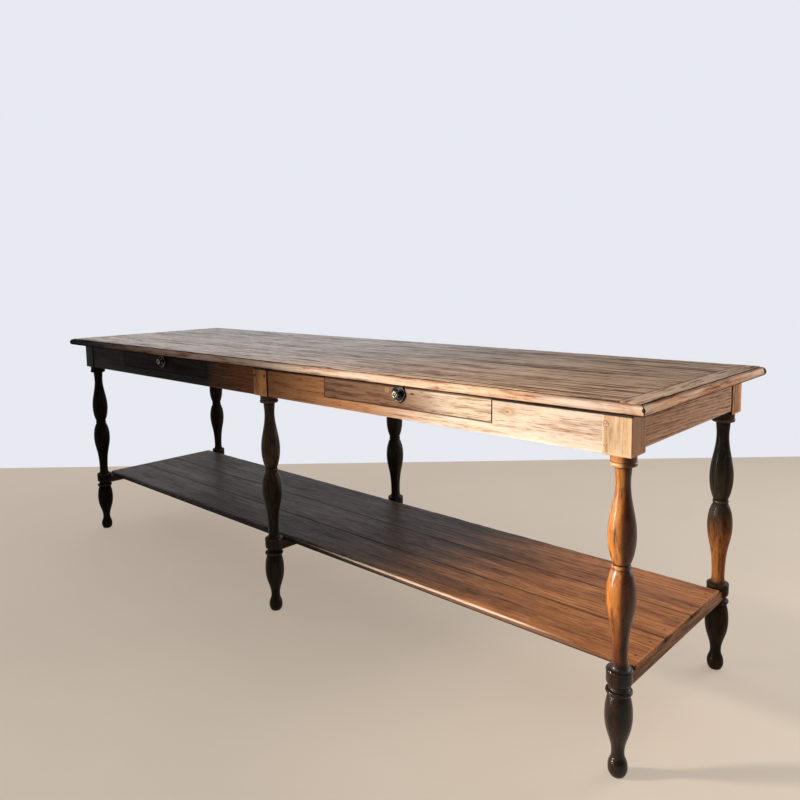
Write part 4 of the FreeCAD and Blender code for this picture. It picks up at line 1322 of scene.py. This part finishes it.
@dataclass
class TurnedLeg:
    """One leg: foot, three vases, rings, collar and beads, and the square block above."""
    column: float
    row: float
    block_half: float = 0.032
    block_bottom: float = 0.697
    block_top: float = 0.790
    joints: tuple[Pair, ...] = ()
    arris: float = 0.0018
    rub: float = 0.004
    block_end: float = 0.006
    block_rub: float = 0.9
    joint_from: float = 0.75
    joint_over: float = 0.2
    ridge: Pair = (0.005, 0.0014)
    turns: int = 64
    crease: float = 32.0
    sag: float = 0.010
    ease: float = 0.0005
    tuck: float = 0.004
    sole: Pair = (0.0155, 0.0008)
    foot: Pair = (0.0210, 0.0180)
    ankle: Pair = (0.0138, 0.0520)
    lower_belly: Pair = (0.0296, 0.13585)
    lower_shoulder: Pair = (0.0225, 0.18261)
    ring_radius: float = 0.0282
    ring_top: Pair = (0.0255, 0.19311)
    waist: Pair = (0.0200, 0.20211)
    bowl_bottom: float = 0.20311
    bowl: Pair = (0.0276, 0.21511)
    collar_top: float = 0.23061
    rim_radius: float = 0.0282
    rim: Pair = (0.0262, 0.23811)
    stem: Pair = (0.0160, 0.25611)
    middle_belly: Pair = (0.0312, 0.39855)
    middle_shoulder: Pair = (0.0185, 0.45553)
    middle_ring_radius: float = 0.0202
    middle_ring: Pair = (0.0175, 0.46503)
    upper_belly: Pair = (0.0295, 0.52791)
    neck: Pair = (0.0156, 0.63708)
    neck_flare: Pair = (0.0175, 0.67250)
    bead_radius: float = 0.0288
    bead_top: Pair = (0.0245, 0.68300)
    neck_collar: float = 0.0270
    slow: float = 0.55
    stem_ease: float = 0.62
    even: float = 0.5
    quick: float = 0.35
    body: str = "frame"

    def outline(self) -> Array:
        """The turned part from the floor to inside its block, as radius and height."""
        leg = Outline(self.sole[0] - self.ease, 0.0)
        leg.line(*self.sole)
        leg.swell(*self.foot)
        leg.sway(*self.ankle, self.slow, self.even)
        leg.sway(*self.lower_belly, self.quick, self.even)
        leg.draw_in(*self.lower_shoulder)
        leg.bead(self.ring_radius, *self.ring_top)
        leg.curve((self.waist[0], self.ring_top[1]), self.waist)
        leg.line(self.waist[0], self.bowl_bottom)
        leg.curve((self.bowl[0], self.bowl_bottom), self.bowl)
        leg.line(self.bowl[0], self.collar_top)
        leg.line(self.rim[0], self.collar_top)
        leg.bead(self.rim_radius, *self.rim)
        leg.curve((self.stem[0], self.rim[1]), self.stem)
        leg.sway(*self.middle_belly, self.stem_ease, self.quick)
        leg.draw_in(*self.middle_shoulder)
        leg.line(self.middle_ring[0], self.middle_shoulder[1])
        leg.bead(self.middle_ring_radius, *self.middle_ring)
        leg.swell(*self.upper_belly)
        leg.sway(*self.neck, self.quick, self.quick)
        leg.sway(*self.neck_flare, self.even, self.even)
        leg.line(self.bead_top[0], self.neck_flare[1])
        leg.bead(self.bead_radius, *self.bead_top)
        leg.line(self.neck_collar, self.bead_top[1])
        leg.line(self.neck_collar, self.block_bottom + self.tuck)
        return leg.points()

    def block(self) -> Skin:
        """The square block: a rounded square carried up, drawn in at both ends."""
        half = self.block_half
        low = (self.column - half, self.row - half)
        high = (self.column + half, self.row + half)
        rows = rounded_square(low, high, self.arris, self.rub, 5)
        low_end, high_end, closing = end_steps(self.block_bottom, self.block_top, self.arris,
                                               (80.0, 50.0, 25.0))
        body = np.linspace(self.block_bottom + self.block_end, self.block_top - self.block_end, 12)
        heights = np.concatenate([low_end, body, high_end])
        draw_in = np.concatenate([closing, np.zeros(len(body)), closing[::-1]])
        flat = rows[None, :, :2] - section_normals(rows[:, :2])[None] * draw_in[:, None, None]
        rings = np.concatenate([flat, np.broadcast_to(heights[:, None, None], flat.shape[:2] + (1,))], -1)
        near = np.zeros((len(heights), 1))
        near[:len(low_end)] = self.block_rub
        worn = np.maximum(np.broadcast_to(rows[:, 2], flat.shape[:2]), near)
        # The block's faces against the aprons are masked dark: dirt and painted shade in the joint gaps.
        facing = section_normals(rows[:, :2]) @ np.array(self.joints).T
        joint = np.clip((facing.max(1) - self.joint_from) / self.joint_over, 0, 1)
        dirt_and_shade = np.broadcast_to(joint, flat.shape[:2])
        return ring_skin(rings, worn * (1 - dirt_and_shade), dirt_and_shade)

    def build(self, name: str, finish: Oak, seed: int) -> None:
        """Build and dress the leg.

        Args:
            name: row and column in words, as in the node's name.
            finish: the leg's finish.
            seed: choice of the turner's unevenness.
        """
        profile = self.outline()
        worn, dirt_and_shade = relief_masks(profile, *self.ridge)
        turned = lathe(profile, (self.column, self.row), self.turns, worn, dirt_and_shade, seed, self.sag)
        skin = turned.with_skin(self.block())
        skin.make("turned_leg_%s" % name, finish, self.body, ["leg_%s" % name], self.crease)


@dataclass(frozen=True)
class LegTone:
    """What sets one leg's finish apart from the others': palettes and fades that paint light and shade, and
    its gloss and marks.
    """
    palette: Palette
    fades: tuple[Fade, ...] = ()
    turned_fades: tuple[Fade, ...] = ()
    block: Optional[Palette] = None
    sheen: float = 0.08
    coat: float = 0.06
    roughness: float = 0.40
    marks: tuple[Mark, ...] = ()


@dataclass
class Legs:
    """The six legs, each with its own tone."""
    column: float = 1.173
    row: float = 0.283
    ring: Mark = Mark((1.149, -0.315, 0.760), (0.0085, 0.004, 0.0085), (0.16, 0.075, 0.03), 0.6, 0.15)

    def painted_tones(self) -> dict[str, LegTone]:
        """Each leg's tone, with light and shade painted in: near black in shade on the left and at the back,
        lighter lit blocks on the front middle and both right legs, and on the front right amber over a dark
        foot.
        """
        # Painted shade on the front right leg: darker from its lower stem down to the foot, below the lamp's
        # light, darker on its block's end face, and darker on the right of its turned part.
        foot = Fade(Axis.Z, 0.265, 0.240, (0.16, 0.20, 0.28), 0.004)
        stem = Fade(Axis.Z, 0.42, 0.27, (0.28, 0.18, 0.12), 0.01)
        end_face_shade = Fade(Axis.X, 1.2043, 1.2049, (0.74, 0.44, 0.24), 0.0)
        shaded = Fade(Axis.X, self.column + 0.005, self.column + 0.016, (0.20, 0.12, 0.07), 0.001)
        # Painted light and shade on the back right leg: its lower vase lit, its foot darkened, and a lit
        # strip on the right of its turned part.
        lit = Fade(Axis.Z, 0.45, 0.33, (7.0, 3.4, 1.3), 0.01)
        back_foot_shade = Fade(Axis.Z, 0.250, 0.238, (0.08, 0.12, 0.22), 0.002)
        rim_lit = Fade(Axis.X, self.column + 0.011, self.column + 0.022, (1.8, 1.5, 1.2), 0.001)
        # Painted shade: the front middle leg darkens below its upper vase.
        middle_leg_shade = Fade(Axis.Z, 0.50, 0.40, (0.36, 0.38, 0.38), 0.01)
        return {
            "front_left": LegTone(DEEP_SHADED_OAK, sheen=0.025, coat=0.02),
            "back_left": LegTone(SHADED_OAK, sheen=0.025, coat=0.02),
            "front_middle": LegTone(UMBER, (middle_leg_shade, UNDER_EDGE_SHADE), block=GOLDEN, coat=0.10),
            "back_middle": LegTone(SHADED_OAK),
            "front_right": LegTone(AMBER, (stem, foot, end_face_shade, UNDER_EDGE_SHADE), (shaded,), PEACH,
                                   sheen=0.28, coat=0.18, roughness=0.31, marks=(self.ring,)),
            "back_right": LegTone(SHADED_OAK, (lit, back_foot_shade, UNDER_EDGE_SHADE), (rim_lit,), GOLDEN, sheen=0.05),
        }

    def build(self) -> None:
        """Build all legs."""
        upright = Grain(Axis.Z, (0.0, 0.0), 0.02, 0.0045, 0.006)
        plain = Oak("leg", Slot.LEG, UMBER, upright, figure=0.12, streak=0.7, dash=0.30, pore=0.30,
                    patina=0.45, wear=0.65, grime=0.95, crack=0.5, relief=0.35, coat_roughness=0.15)
        rows = {"front": -self.row, "back": self.row}
        columns = {"left": -self.column, "middle": 0.0, "right": self.column}
        for seed, (name, tone) in enumerate(self.painted_tones().items(), 1):
            row, column = name.split("_")
            beside = [(-1.0, 0.0)] * (column != "left") + [(1.0, 0.0)] * (column != "right")
            leg = TurnedLeg(columns[column], rows[row],
                            joints=(*beside, (0.0, 1.0 if row == "front" else -1.0)))
            grain = replace(upright, heart=(leg.column + 0.035 - 0.011 * seed, leg.row + 0.03))
            leg.build(name, replace(plain, name="leg_%s" % name, grain=grain, seed=5.3 * seed, **vars(tone)),
                      seed)


@dataclass
class Aprons:
    """Aprons, the rail between the middle legs, and their fasteners."""
    swirl: Pair = (0.9126, 0.7553)
    swirl_eye: float = 0.9100
    front_joint: Pair = (0.0395, 0.0375)
    back_joint: Pair = (0.2452, 0.2472)
    # The tint of the painted shade in the open joints.
    joint_gap_shade_tint: Triple = (0.05, 0.04, 0.03)
    end_heart: Pair = (1.160, 0.58)

    def front(self) -> None:
        """Dress the front aprons: pale with painted light on the right, and dark with painted shade on the
        left.
        """
        swirl = (face_mark(*self.swirl, (0.030, 0.0150), (0.30, 0.155, 0.070), 0.75, 0.8),
                 face_mark(*self.swirl, (0.015, 0.0078), HONEY.middle, 0.7, 0.5),
                 face_mark(self.swirl_eye, self.swirl[1], (0.0080, 0.0036), (0.24, 0.10, 0.045), 0.85, 0.5))
        # Painted shade: the right bay darkens towards its left, away from the lamp's light, the apron is
        # painted dark in the open joint by the middle leg, and under the top's edge.
        right_bay_shade = Fade(Axis.X, 0.86, 0.38, (0.56, 0.31, 0.155), 0.05)
        joint_gap_shade = Fade(Axis.X, *self.front_joint, self.joint_gap_shade_tint, 0.0)
        dress("front_apron_right", FRONT_OAK, name="front_apron_right", seed=2.0, marks=swirl,
              fades=(right_bay_shade, joint_gap_shade, UNDER_EDGE_SHADE))
        # Painted light: the dark left apron lightens from beside its drawer towards the middle leg.
        left_bay_light = (Fade(Axis.X, -0.31, -0.24, (5.6, 3.1, 1.9), 0.02),
                    Fade(Axis.X, -0.22, -0.03, (1.5, 1.35, 1.2), 0.02))
        dress("front_apron_left", FRONT_OAK, name="front_apron_left", palette=SHADED_OAK, seed=8.0, wear=0.15,
              sheen=0.04, fades=left_bay_light)

    def build(self) -> None:
        """Dress the aprons and fasteners."""
        self.front()
        # Painted shade in the open joint of each end apron and under the top's edge.
        joint_gap_shade = Fade(Axis.Y, *self.back_joint, self.joint_gap_shade_tint, 0.0)
        end = replace(FRONT_OAK, palette=FAWN, figure=0.65, streak=0.3, patina=0.2,
                      fades=(joint_gap_shade, UNDER_EDGE_SHADE))
        x, z = self.end_heart
        dress("end_apron_right", end, name="end_apron_right", seed=5.0,
              grain=Grain(Axis.Y, (x, z), 0.035, 0.008, 0.014))
        # The left end apron takes a darker palette than the right: painted shade.
        dress("end_apron_left", end, name="end_apron_left", palette=WALNUT, seed=6.0,
              grain=Grain(Axis.Y, (-x, z + 0.02), 0.03, 0.008, 0.014))
        # The left back apron takes a darker palette than the right: painted shade.
        for side, palette, seed in ((Side.LEFT, WALNUT, 21.0), (Side.RIGHT, RUSSET, 22.0)):
            node = "back_apron_%s" % side.word
            dress(node, FRONT_OAK, name=node, palette=palette, seed=seed)
        dress("middle_cross_rail", Oak("inner_rail", Slot.INNER, DUSTY, Grain(Axis.Y), 4.0, patina=0.5,
                                       roughness=0.7, coat=0.0))
        # The pegs darken towards the left: painted shade.
        dress("apron_pegs", Oak("apron_peg_oak", Slot.PEG, RUBBED, Grain(Axis.Y, (0.0, 0.765)), 7.0,
                                roughness=0.5, sheen=0.1, coat=0.0,
                                fades=(Fade(Axis.X, 0.9, 0.1, (0.5, 0.22, 0.09), 0.0),
                                       Fade(Axis.X, -0.02, -0.5, (0.10, 0.11, 0.14), 0.0))))
        dress("apron_nails", NAIL_IRON, name="apron_nail_iron")


@dataclass
class Knob:
    """Round metal rosette with a turned knob."""
    place: float
    height: float = 0.763
    face: float = FRONT
    turns: int = 64
    fine: float = 0.0005
    plate_foot: Pair = (0.0228, 0.0)
    plate_edge: Pair = (0.0230, 0.0006)
    plate_curves: tuple[tuple[Pair, ...], ...] = (
        ((0.0230, 0.0042), (0.0205, 0.0042)), ((0.0180, 0.0042), (0.0180, 0.0016)),
        ((0.0150, 0.0013), (0.0142, 0.0020)), ((0.0134, 0.0013), (0.0112, 0.0016)),
        ((0.0085, 0.0018), (0.0088, 0.0045), (0.0048, 0.0045)))
    spindle: float = 0.0026
    spindle_ends: Pair = (-0.0290, 0.0045)
    neck: float = 0.0046
    neck_top: Pair = (0.0044, 0.0075)
    head_curves: tuple[tuple[Pair, ...], ...] = (
        ((0.0062, 0.0090), (0.0100, 0.0110), (0.0100, 0.0150)),
        ((0.0100, 0.0180), (0.0083, 0.0192), (0.0068, 0.0194)), ((0.0058, 0.0193), (0.0060, 0.0184)),
        ((0.0046, 0.0181), (0.0034, 0.0184)), ((0.0030, 0.0194), (0.0008, 0.0194)))
    plate_ridge: Pair = (0.0018, 0.0012)
    head_ridge: Pair = (0.0012, 0.0004)
    crease: float = 45.0

    def _turned(self, profile: Array, reach: float, depth: float) -> Skin:
        """A profile turned about the knob's axis, which points out of the drawer's face."""
        worn, dirt_and_shade = relief_masks(profile, reach, depth)
        skin = lathe(profile, (0.0, 0.0), self.turns, worn, dirt_and_shade)
        x, y, z = skin.points.T
        skin.points = np.stack([self.place + x, self.face - z, self.height + y], 1)
        return skin.outward()

    def rosette(self) -> Array:
        """Outline of the dished plate: rolled rim, dish with two turned rings, and a middle boss."""
        plate = Outline(*self.plate_foot)
        plate.line(*self.plate_edge)
        for poles in self.plate_curves:
            plate.curve(*poles, step=self.fine)
        return plate.points()

    def grip(self) -> Array:
        """Outline of the knob: spindle, neck, round head with a ring and an eye on its face."""
        back, front = self.spindle_ends
        grip = Outline(self.spindle, back)
        grip.line(self.spindle, front)
        grip.curve((self.neck, front), step=self.fine)
        grip.line(*self.neck_top)
        for poles in self.head_curves:
            grip.curve(*poles, step=self.fine)
        return grip.points()

    def build(self, side: Side) -> None:
        """Build and dress the knob of one drawer."""
        word = side.word
        body = "drawer_%s" % word
        black = DarkMetal("rosette_metal_%s" % word, Slot.KNOB, (0.006, 0.0055, 0.005), (0.08, 0.07, 0.06),
                          0.22)
        rosette = self._turned(self.rosette(), *self.plate_ridge)
        rosette.make("rosette_%s" % word, black, body, ["knob_%s_rosette" % word], self.crease)
        # The knob's worn rings take a near-white colour: bared metal, and a painted highlight on the rings.
        worn_and_highlighted_metal = replace(black, name="knob_metal_%s" % word, bright=(0.80, 0.75, 0.67))
        grip = self._turned(self.grip(), *self.head_ridge)
        grip.make("knob_%s" % word, worn_and_highlighted_metal, body, ["knob_%s_grip" % word], self.crease)
        dress("knob_%s_nut" % word, black, name="nut_iron_%s" % word, slot=Slot.NAIL, roughness=0.6)


@dataclass
class Drawers:
    """The two drawers with their knobs, runners and stops."""
    middle: float = 0.5825
    plug: Pair = (0.5397, 0.7681)
    stain: Pair = (0.6259, 0.7665)

    def build(self) -> None:
        """Dress the drawers and build their knobs."""
        # The fronts' edges are darkened: painted shade of the gaps round the drawers, with some dirt.
        front = replace(FRONT_OAK, slot=Slot.DRAWER, grain=Grain(Axis.X, (0.63, 0.52), 0.03, 0.0055, 0.012),
                        figure=0.15, streak=0.55, dash=0.28, pore=0.30, patina=0.30, edge_dirt_and_shade=0.95,
                        grime=0.95)
        # Painted shade: the right drawer front darkens towards its left, away from the lamp's light, and
        # under the top's edge.
        tone = Fade(Axis.X, 0.80, 0.54, (0.29, 0.18, 0.115), 0.05)
        knots = (face_mark(*self.plug, (0.0090, 0.0080), (0.36, 0.20, 0.09), 0.55, 0.35),
                 face_mark(*self.plug, (0.0024, 0.0024), (0.10, 0.04, 0.02), 0.9, 0.5),
                 face_mark(*self.stain, (0.0090, 0.0036), (0.08, 0.012, 0.008), 0.95, 0.5))
        dress("drawer_right_front", front, name="drawer_front_right", seed=3.0, marks=knots,
              fades=(tone, replace(UNDER_EDGE_SHADE, tint=(0.34, 0.28, 0.24))))
        # The left drawer front is near black: painted shade.
        dress("drawer_left_front", front, name="drawer_front_left", palette=DEEP_SHADED_OAK, seed=9.0, sheen=0.03)
        inner = Oak("drawer_wood", Slot.INNER, DUSTY, Grain(Axis.Y), 1.0, figure=0.3, patina=0.5,
                    crack=0.2, roughness=0.68, coat=0.0)
        cross = replace(inner, grain=Grain(Axis.X))
        for side in Side:
            name = "drawer_%s_" % side.word
            for number, piece in enumerate(("side_left", "side_right", "bottom")):
                dress(name + piece, inner, name=name + piece, seed=11.0 * number + side.value)
            dress(name + "back", cross, name=name + "back", seed=44.0 + side.value)
            dress(name + "nails", NAIL_IRON, name=name + "nails")
            for hand in ("left", "right"):
                runner = name + "runner_" + hand
                dress(runner, inner, name=runner, seed=50.0 + side.value)
            Knob(side.value * self.middle).build(side)
        dress("drawer_stops", inner, name="drawer_stop_wood", seed=61.0)
        dress("glue_blocks", cross, name="glue_block_wood", seed=63.0)


@dataclass
class Shelf:
    """Three shelf boards on their rails."""
    half_length: float = 1.191
    top: float = 0.2356125
    thickness: float = 0.016
    seams: tuple[float, ...] = (-0.2453, -0.093214, 0.053966, 0.2453)
    seam_gap: float = 0.0003
    nose: float = 0.008
    step: float = 0.0025
    fillet: float = 0.00448
    arris: float = 0.0008
    dirt: float = 0.005
    pitch: float = 0.005
    nicks: Nicks = (50, 0.014, 0.0018)
    wander: Pair = (0.0006, 0.31)
    warp: float = 0.0010
    warp_waves: Pair = (1.1, 0.13)
    face_within: float = 0.00001
    end_round: float = 0.0016
    across: int = 10
    body: str = "frame"

    def nosing(self) -> Array:
        """The long side of the shelf: a set-back fillet under a round."""
        under = self.top - self.thickness
        middle, ledge = self.top - self.nose, under + self.fillet
        side = Flank()
        # The set-back fillet and its step are masked dark: painted shade under the round.
        side.run((self.step, under), (self.step, ledge), 3, 0.0, 0.8)
        side.run((self.step, ledge), (0.0, ledge), 2, 0.2, 0.3, 0.8)
        side.run((0.0, ledge), (0.0, middle), 2, 0.1, 0.0, 1.0)
        side.arc((self.nose, middle), self.nose, 180.0, 90.0, 10, 0.25, 0.0, 1.0)
        return side.rows(self.nose, self.top)

    def plank(self, number: int) -> Skin:
        """One board: its section carried along the shelf, with its top face lowered by a slow wander.

        Args:
            number: its place from the front.

        Returns:
            The board.
        """
        reach = self.half_length
        stations = np.linspace(-reach, reach, int(2 * reach / self.pitch))
        joint = plain_flank(self.top - self.thickness, self.top, self.arris, self.dirt, 1.0)
        wander, wave = self.wander
        nick = (dents(stations, -reach, reach, *self.nicks, 20 + number)
                + wander * ripple(stations, wave, 30 + number))
        rows = board_section(self.seams, number, self.nosing(), joint, self.seam_gap, self.across)
        skin = carried(rows, stations, self.end_round, nick)
        x, y, z = skin.points.T
        wave, cross_wave = self.warp_waves
        low = self.warp * ripple(x, wave, 33 + number) * ripple(y, cross_wave, 36 + number)
        skin.points[:, 2] -= np.where(z > self.top - self.face_within, low, 0.0)
        return skin

    def build(self) -> None:
        """Build the boards and dress the rails and nails."""
        wood = Oak("shelf", Slot.SHELF, WALNUT, Grain(Axis.X, (0.0, -0.4), 0.02, 0.008, 0.02),
                   figure=0.10, streak=0.5, dash=0.20, dash_size=(6.0, 120.0), fleck=0.26,
                   fleck_size=(20.0, 190.0), pore=0.25, patina=0.40, wear=0.45, grime=0.9, crack=0.8,
                   scratch=0.2, relief=0.4, roughness=0.48, sheen=0.12, coat=0.05, coat_roughness=0.28,
                   # The shelf's fades paint light and shade: lighter where the lamp reaches its right part,
                   # darker again at its right end, and darker down its front edge.
                   fades=(Fade(Axis.X, 0.30, 0.92, (5.2, 3.4, 1.6), 0.10),
                          Fade(Axis.X, 0.90, 1.16, (0.90, 0.86, 0.80), 0.04),
                          Fade(Axis.Y, -0.2385, -0.2430, (0.46, 0.50, 0.60), 0.0)))
        # Painted highlight along the top of the front nosing, and painted shade on its face below.
        wear_and_highlight = (Mark((0.56, -0.2430, 0.2333), (0.56, 0.0042, 0.0042), (0.72, 0.54, 0.44), 0.92, 0.45),
                  Mark((0.80, -0.2453, 0.2262), (0.42, 0.0050, 0.0034), (0.17, 0.085, 0.055), 0.85, 0.5))
        for number, place in enumerate(("front", "middle", "back")):
            low, high = self.seams[number], self.seams[number + 1]
            grain = replace(wood.grain, heart=((low + high) / 2, 0.64 - 0.1 * number))
            finish = replace(wood, name="shelf_%s" % place, grain=grain, seed=17.0 + 9.1 * number,
                             marks=wear_and_highlight if number == 0 else ())
            self.plank(number).make("shelf_plank_%s" % place, finish, self.body, ["shelf_board_%s" % place])
        # The right rail is lighter at the table's end, painted light, and the left and middle rails take a
        # darker palette, painted shade.
        rail = replace(wood, name="shelf_rail", grain=Grain(Axis.Y), scratch=0.0,
                       fades=(Fade(Axis.X, 1.0, 1.1, (2.6, 1.7, 1.0), 0.0),))
        for number, (column, palette) in enumerate((("left", UMBER), ("middle", UMBER), ("right", WALNUT))):
            node = "shelf_rail_%s" % column
            dress(node, rail, name=node, palette=palette, seed=90.0 + number)
        dress("shelf_nails", DarkMetal("shelf_nail_iron", Slot.NAIL, (0.075, 0.040, 0.024),
                                       (0.10, 0.060, 0.04), 0.7, 0.0))


# Light and camera

@dataclass(frozen=True)
class Lamp:
    """A soft box: where it stands and points, its width and height, its watts, tint and beam."""
    name: str
    place: Triple
    target: Triple
    size: Pair
    power: float
    colour: Triple
    spread: float

    def build(self) -> None:
        """Put the lamp into the scene, unseen by the camera."""
        data = bpy.data.lights.new(self.name, "AREA")
        data.shape = "RECTANGLE"
        data.size, data.size_y = self.size
        data.energy = self.power
        data.color = self.colour
        data.spread = math.radians(self.spread)
        lamp = bpy.data.objects.new(self.name, data)
        lamp.visible_camera = False
        turn = (Vector(self.target) - Vector(self.place)).to_track_quat("-Z", "Y").to_matrix().to_4x4()
        lamp.matrix_world = Matrix.Translation(Vector(self.place)) @ turn
        bpy.context.scene.collection.objects.link(lamp)


SUNNY = (1.0, 0.93, 0.82)
LAMPS = (Lamp("window", (-1.0, -2.2, 1.30), (1.25, -0.10, 0.45), (0.22, 0.22), 5.1, SUNNY, 32.0),
         Lamp("tall_pane", (-1.0, -2.3, 0.60), (1.20, -0.25, 0.45), (0.25, 0.95), 3.2, SUNNY, 40.0),
         Lamp("end_fill", (2.1, 2.5, 1.4), (1.2, 0.0, 0.6), (2.0, 2.0), 20.0, (1.0, 0.96, 0.90), 120.0))


@dataclass
class Studio:
    """Camera at the photograph's angle, pale floor and soft lights."""
    image: float = 800.0
    focal: float = 730.93
    middle: Pair = (400.0, 355.18)
    eye: Triple = (1.82851, -1.64821, 1.06557)
    yaw: float = 42.9156
    pitch: float = 6.3971
    roll: float = -0.8378
    sensor: float = 36.0
    backdrop: Triple = (0.80, 0.82, 0.87)
    floor: Triple = (0.72, 0.61, 0.50)
    ahead: Triple = (-0.681, 0.732, 0.0)
    backdrop_at: float = 1.60
    backdrop_reach: float = 9.0
    daylight: Triple = (0.95, 0.97, 1.0)
    fill: float = 0.7
    dim: float = 0.06
    ahead_glow: float = 0.75
    sky_glow: float = 0.75
    right_glow: float = 0.12
    floor_glow: float = 0.5
    floor_reach: float = 9.0
    floor_level: float = -0.0003
    floor_fades: Pair = (4.0, 8.5)

    @property
    def aside(self) -> Triple:
        """The direction to the right of the one that runs to the backdrop."""
        return self.ahead[1], -self.ahead[0], 0.0

    def camera(self) -> None:
        """The camera: its axes come from yaw, pitch and roll, its lens from the focal length in pixels,
        and its shift from the place of the photograph's middle."""
        yaw, pitch, roll = (math.radians(turn) for turn in (self.yaw, self.pitch, self.roll))
        forward = Vector((-math.sin(yaw) * math.cos(pitch), math.cos(yaw) * math.cos(pitch),
                          -math.sin(pitch)))
        right = Vector((math.cos(yaw), math.sin(yaw), 0.0))
        up = right.cross(forward)
        across = right * math.cos(roll) + up * math.sin(roll)
        above = up * math.cos(roll) - right * math.sin(roll)
        data = bpy.data.cameras.new("camera")
        data.sensor_width = self.sensor
        data.lens = self.focal * self.sensor / self.image
        data.shift_x = (self.image / 2 - self.middle[0]) / self.image
        data.shift_y = (self.middle[1] - self.image / 2) / self.image
        camera = bpy.data.objects.new("camera", data)
        turn = Matrix((across, above, -forward)).transposed().to_4x4()
        camera.matrix_world = Matrix.Translation(Vector(self.eye)) @ turn
        bpy.context.scene.collection.objects.link(camera)
        bpy.context.scene.camera = camera

    def surround(self) -> None:
        """The world: a fill that is brightest from the backdrop behind the table and dim from the room
        behind the camera. What looks straight at it sees the even backdrop, and what mirrors it sees
        the backdrop as bright as the fill makes each side."""
        nodes = Nodes(bpy.data.worlds.new("surround"))
        bpy.context.scene.world = nodes.owner
        direction = nodes.add("ShaderNodeTexCoord").outputs["Generated"]
        glows = ((self.ahead, self.ahead_glow), ((0.0, 0.0, 1.0), self.sky_glow),
                 (self.aside, self.right_glow))
        share = sum((nodes.toward(direction, aim) * strength for aim, strength in glows), self.dim)
        share = share.least(1.0)
        camera, glossy, through = nodes.rays("Camera", "Glossy", "Transmission")
        fill = nodes.add("ShaderNodeBackground", {"Color": self.daylight, "Strength": share * self.fill})
        seen = nodes.add("ShaderNodeBackground", {"Color": self.backdrop, "Strength": camera.most(share)})
        blend = nodes.add("ShaderNodeMixShader", {0: camera.most(glossy.most(through)),
                                                  1: fill.outputs[0], 2: seen.outputs[0]})
        nodes.add("ShaderNodeOutputWorld", {"Surface": blend.outputs[0]})

    @staticmethod
    def sheet(name: str, corners: Sequence[Triple], material: bpy.types.Material) -> None:
        """Set a flat four-cornered sheet that isn't part of the table.

        Args:
            name: the sheet's name.
            corners: its corners in order.
            material: its material.
        """
        mesh = bpy.data.meshes.new(name)
        mesh.from_pydata(corners, [], [(0, 1, 2, 3)])
        mesh.materials.append(material)
        piece = bpy.data.objects.new(name, mesh)
        bpy.context.scene.collection.objects.link(piece)

    def ground(self) -> None:
        """A pale floor that passes into the backdrop away from the table."""
        nodes = Nodes(bpy.data.materials.new("pale_floor"))
        place = nodes.place()
        clouds = nodes.noise(place, (2.0, 2.0, 2.0), 1.0, 5.0, 0.6)
        colour = nodes.mix(clouds.rise(0.3, 0.7), tuple(0.93 * part for part in self.floor), self.floor)
        shader = nodes.add("ShaderNodeBsdfPrincipled", {"Base Color": colour, "Roughness": 0.75})
        far = nodes.length(place).rise(*self.floor_fades)
        camera, glossy = nodes.rays("Camera", "Glossy")
        seen = camera.most(glossy)
        shown = nodes.mix(far, self.floor, self.backdrop)
        glow = nodes.add("ShaderNodeEmission", {"Color": shown, "Strength": 1.0})
        share = (far * (1 - self.floor_glow) + self.floor_glow) * seen
        blend = nodes.add("ShaderNodeMixShader", {0: share, 1: shader.outputs[0], 2: glow.outputs[0]})
        nodes.add("ShaderNodeOutputMaterial", {"Surface": blend.outputs[0]})
        reach, level = self.floor_reach, self.floor_level
        self.sheet("floor", [(-reach, -reach, level), (reach, -reach, level), (reach, reach, level),
                             (-reach, reach, level)], nodes.owner)

    def screen(self) -> None:
        """An upright backdrop behind the table: seen from its front side only, and it stops no light."""
        nodes = Nodes(bpy.data.materials.new("pale_screen"))
        camera, glossy = nodes.rays("Camera", "Glossy")
        hidden = Value(nodes, nodes.add("ShaderNodeNewGeometry").outputs["Backfacing"])
        seen = camera.most(glossy)
        clear = nodes.add("ShaderNodeBsdfTransparent")
        glow = nodes.add("ShaderNodeEmission", {"Color": self.backdrop, "Strength": 1.0})
        blend = nodes.add("ShaderNodeMixShader", {0: seen * (1 - hidden), 1: clear.outputs[0],
                                                  2: glow.outputs[0]})
        nodes.add("ShaderNodeOutputMaterial", {"Surface": blend.outputs[0]})
        aside = Vector(self.aside) * self.backdrop_reach
        foot = Vector(self.ahead) * self.backdrop_at
        rise = Vector((0.0, 0.0, self.backdrop_reach))
        corners = (foot - aside, foot + aside, foot + aside + rise, foot - aside + rise)
        self.sheet("screen", [tuple(corner) for corner in corners], nodes.owner)

    def build(self) -> None:
        """Set camera, floor and lights."""
        scene = bpy.context.scene
        scene.view_settings.view_transform = "Standard"
        self.camera()
        self.surround()
        self.ground()
        self.screen()
        for lamp in LAMPS:
            lamp.build()


def main() -> None:
    """Build the studio and the table piece by piece."""
    Studio().build()
    TableTop().build()
    Legs().build()
    Aprons().build()
    Drawers().build()
    Shelf().build()


if __name__ == "__main__":
    main()
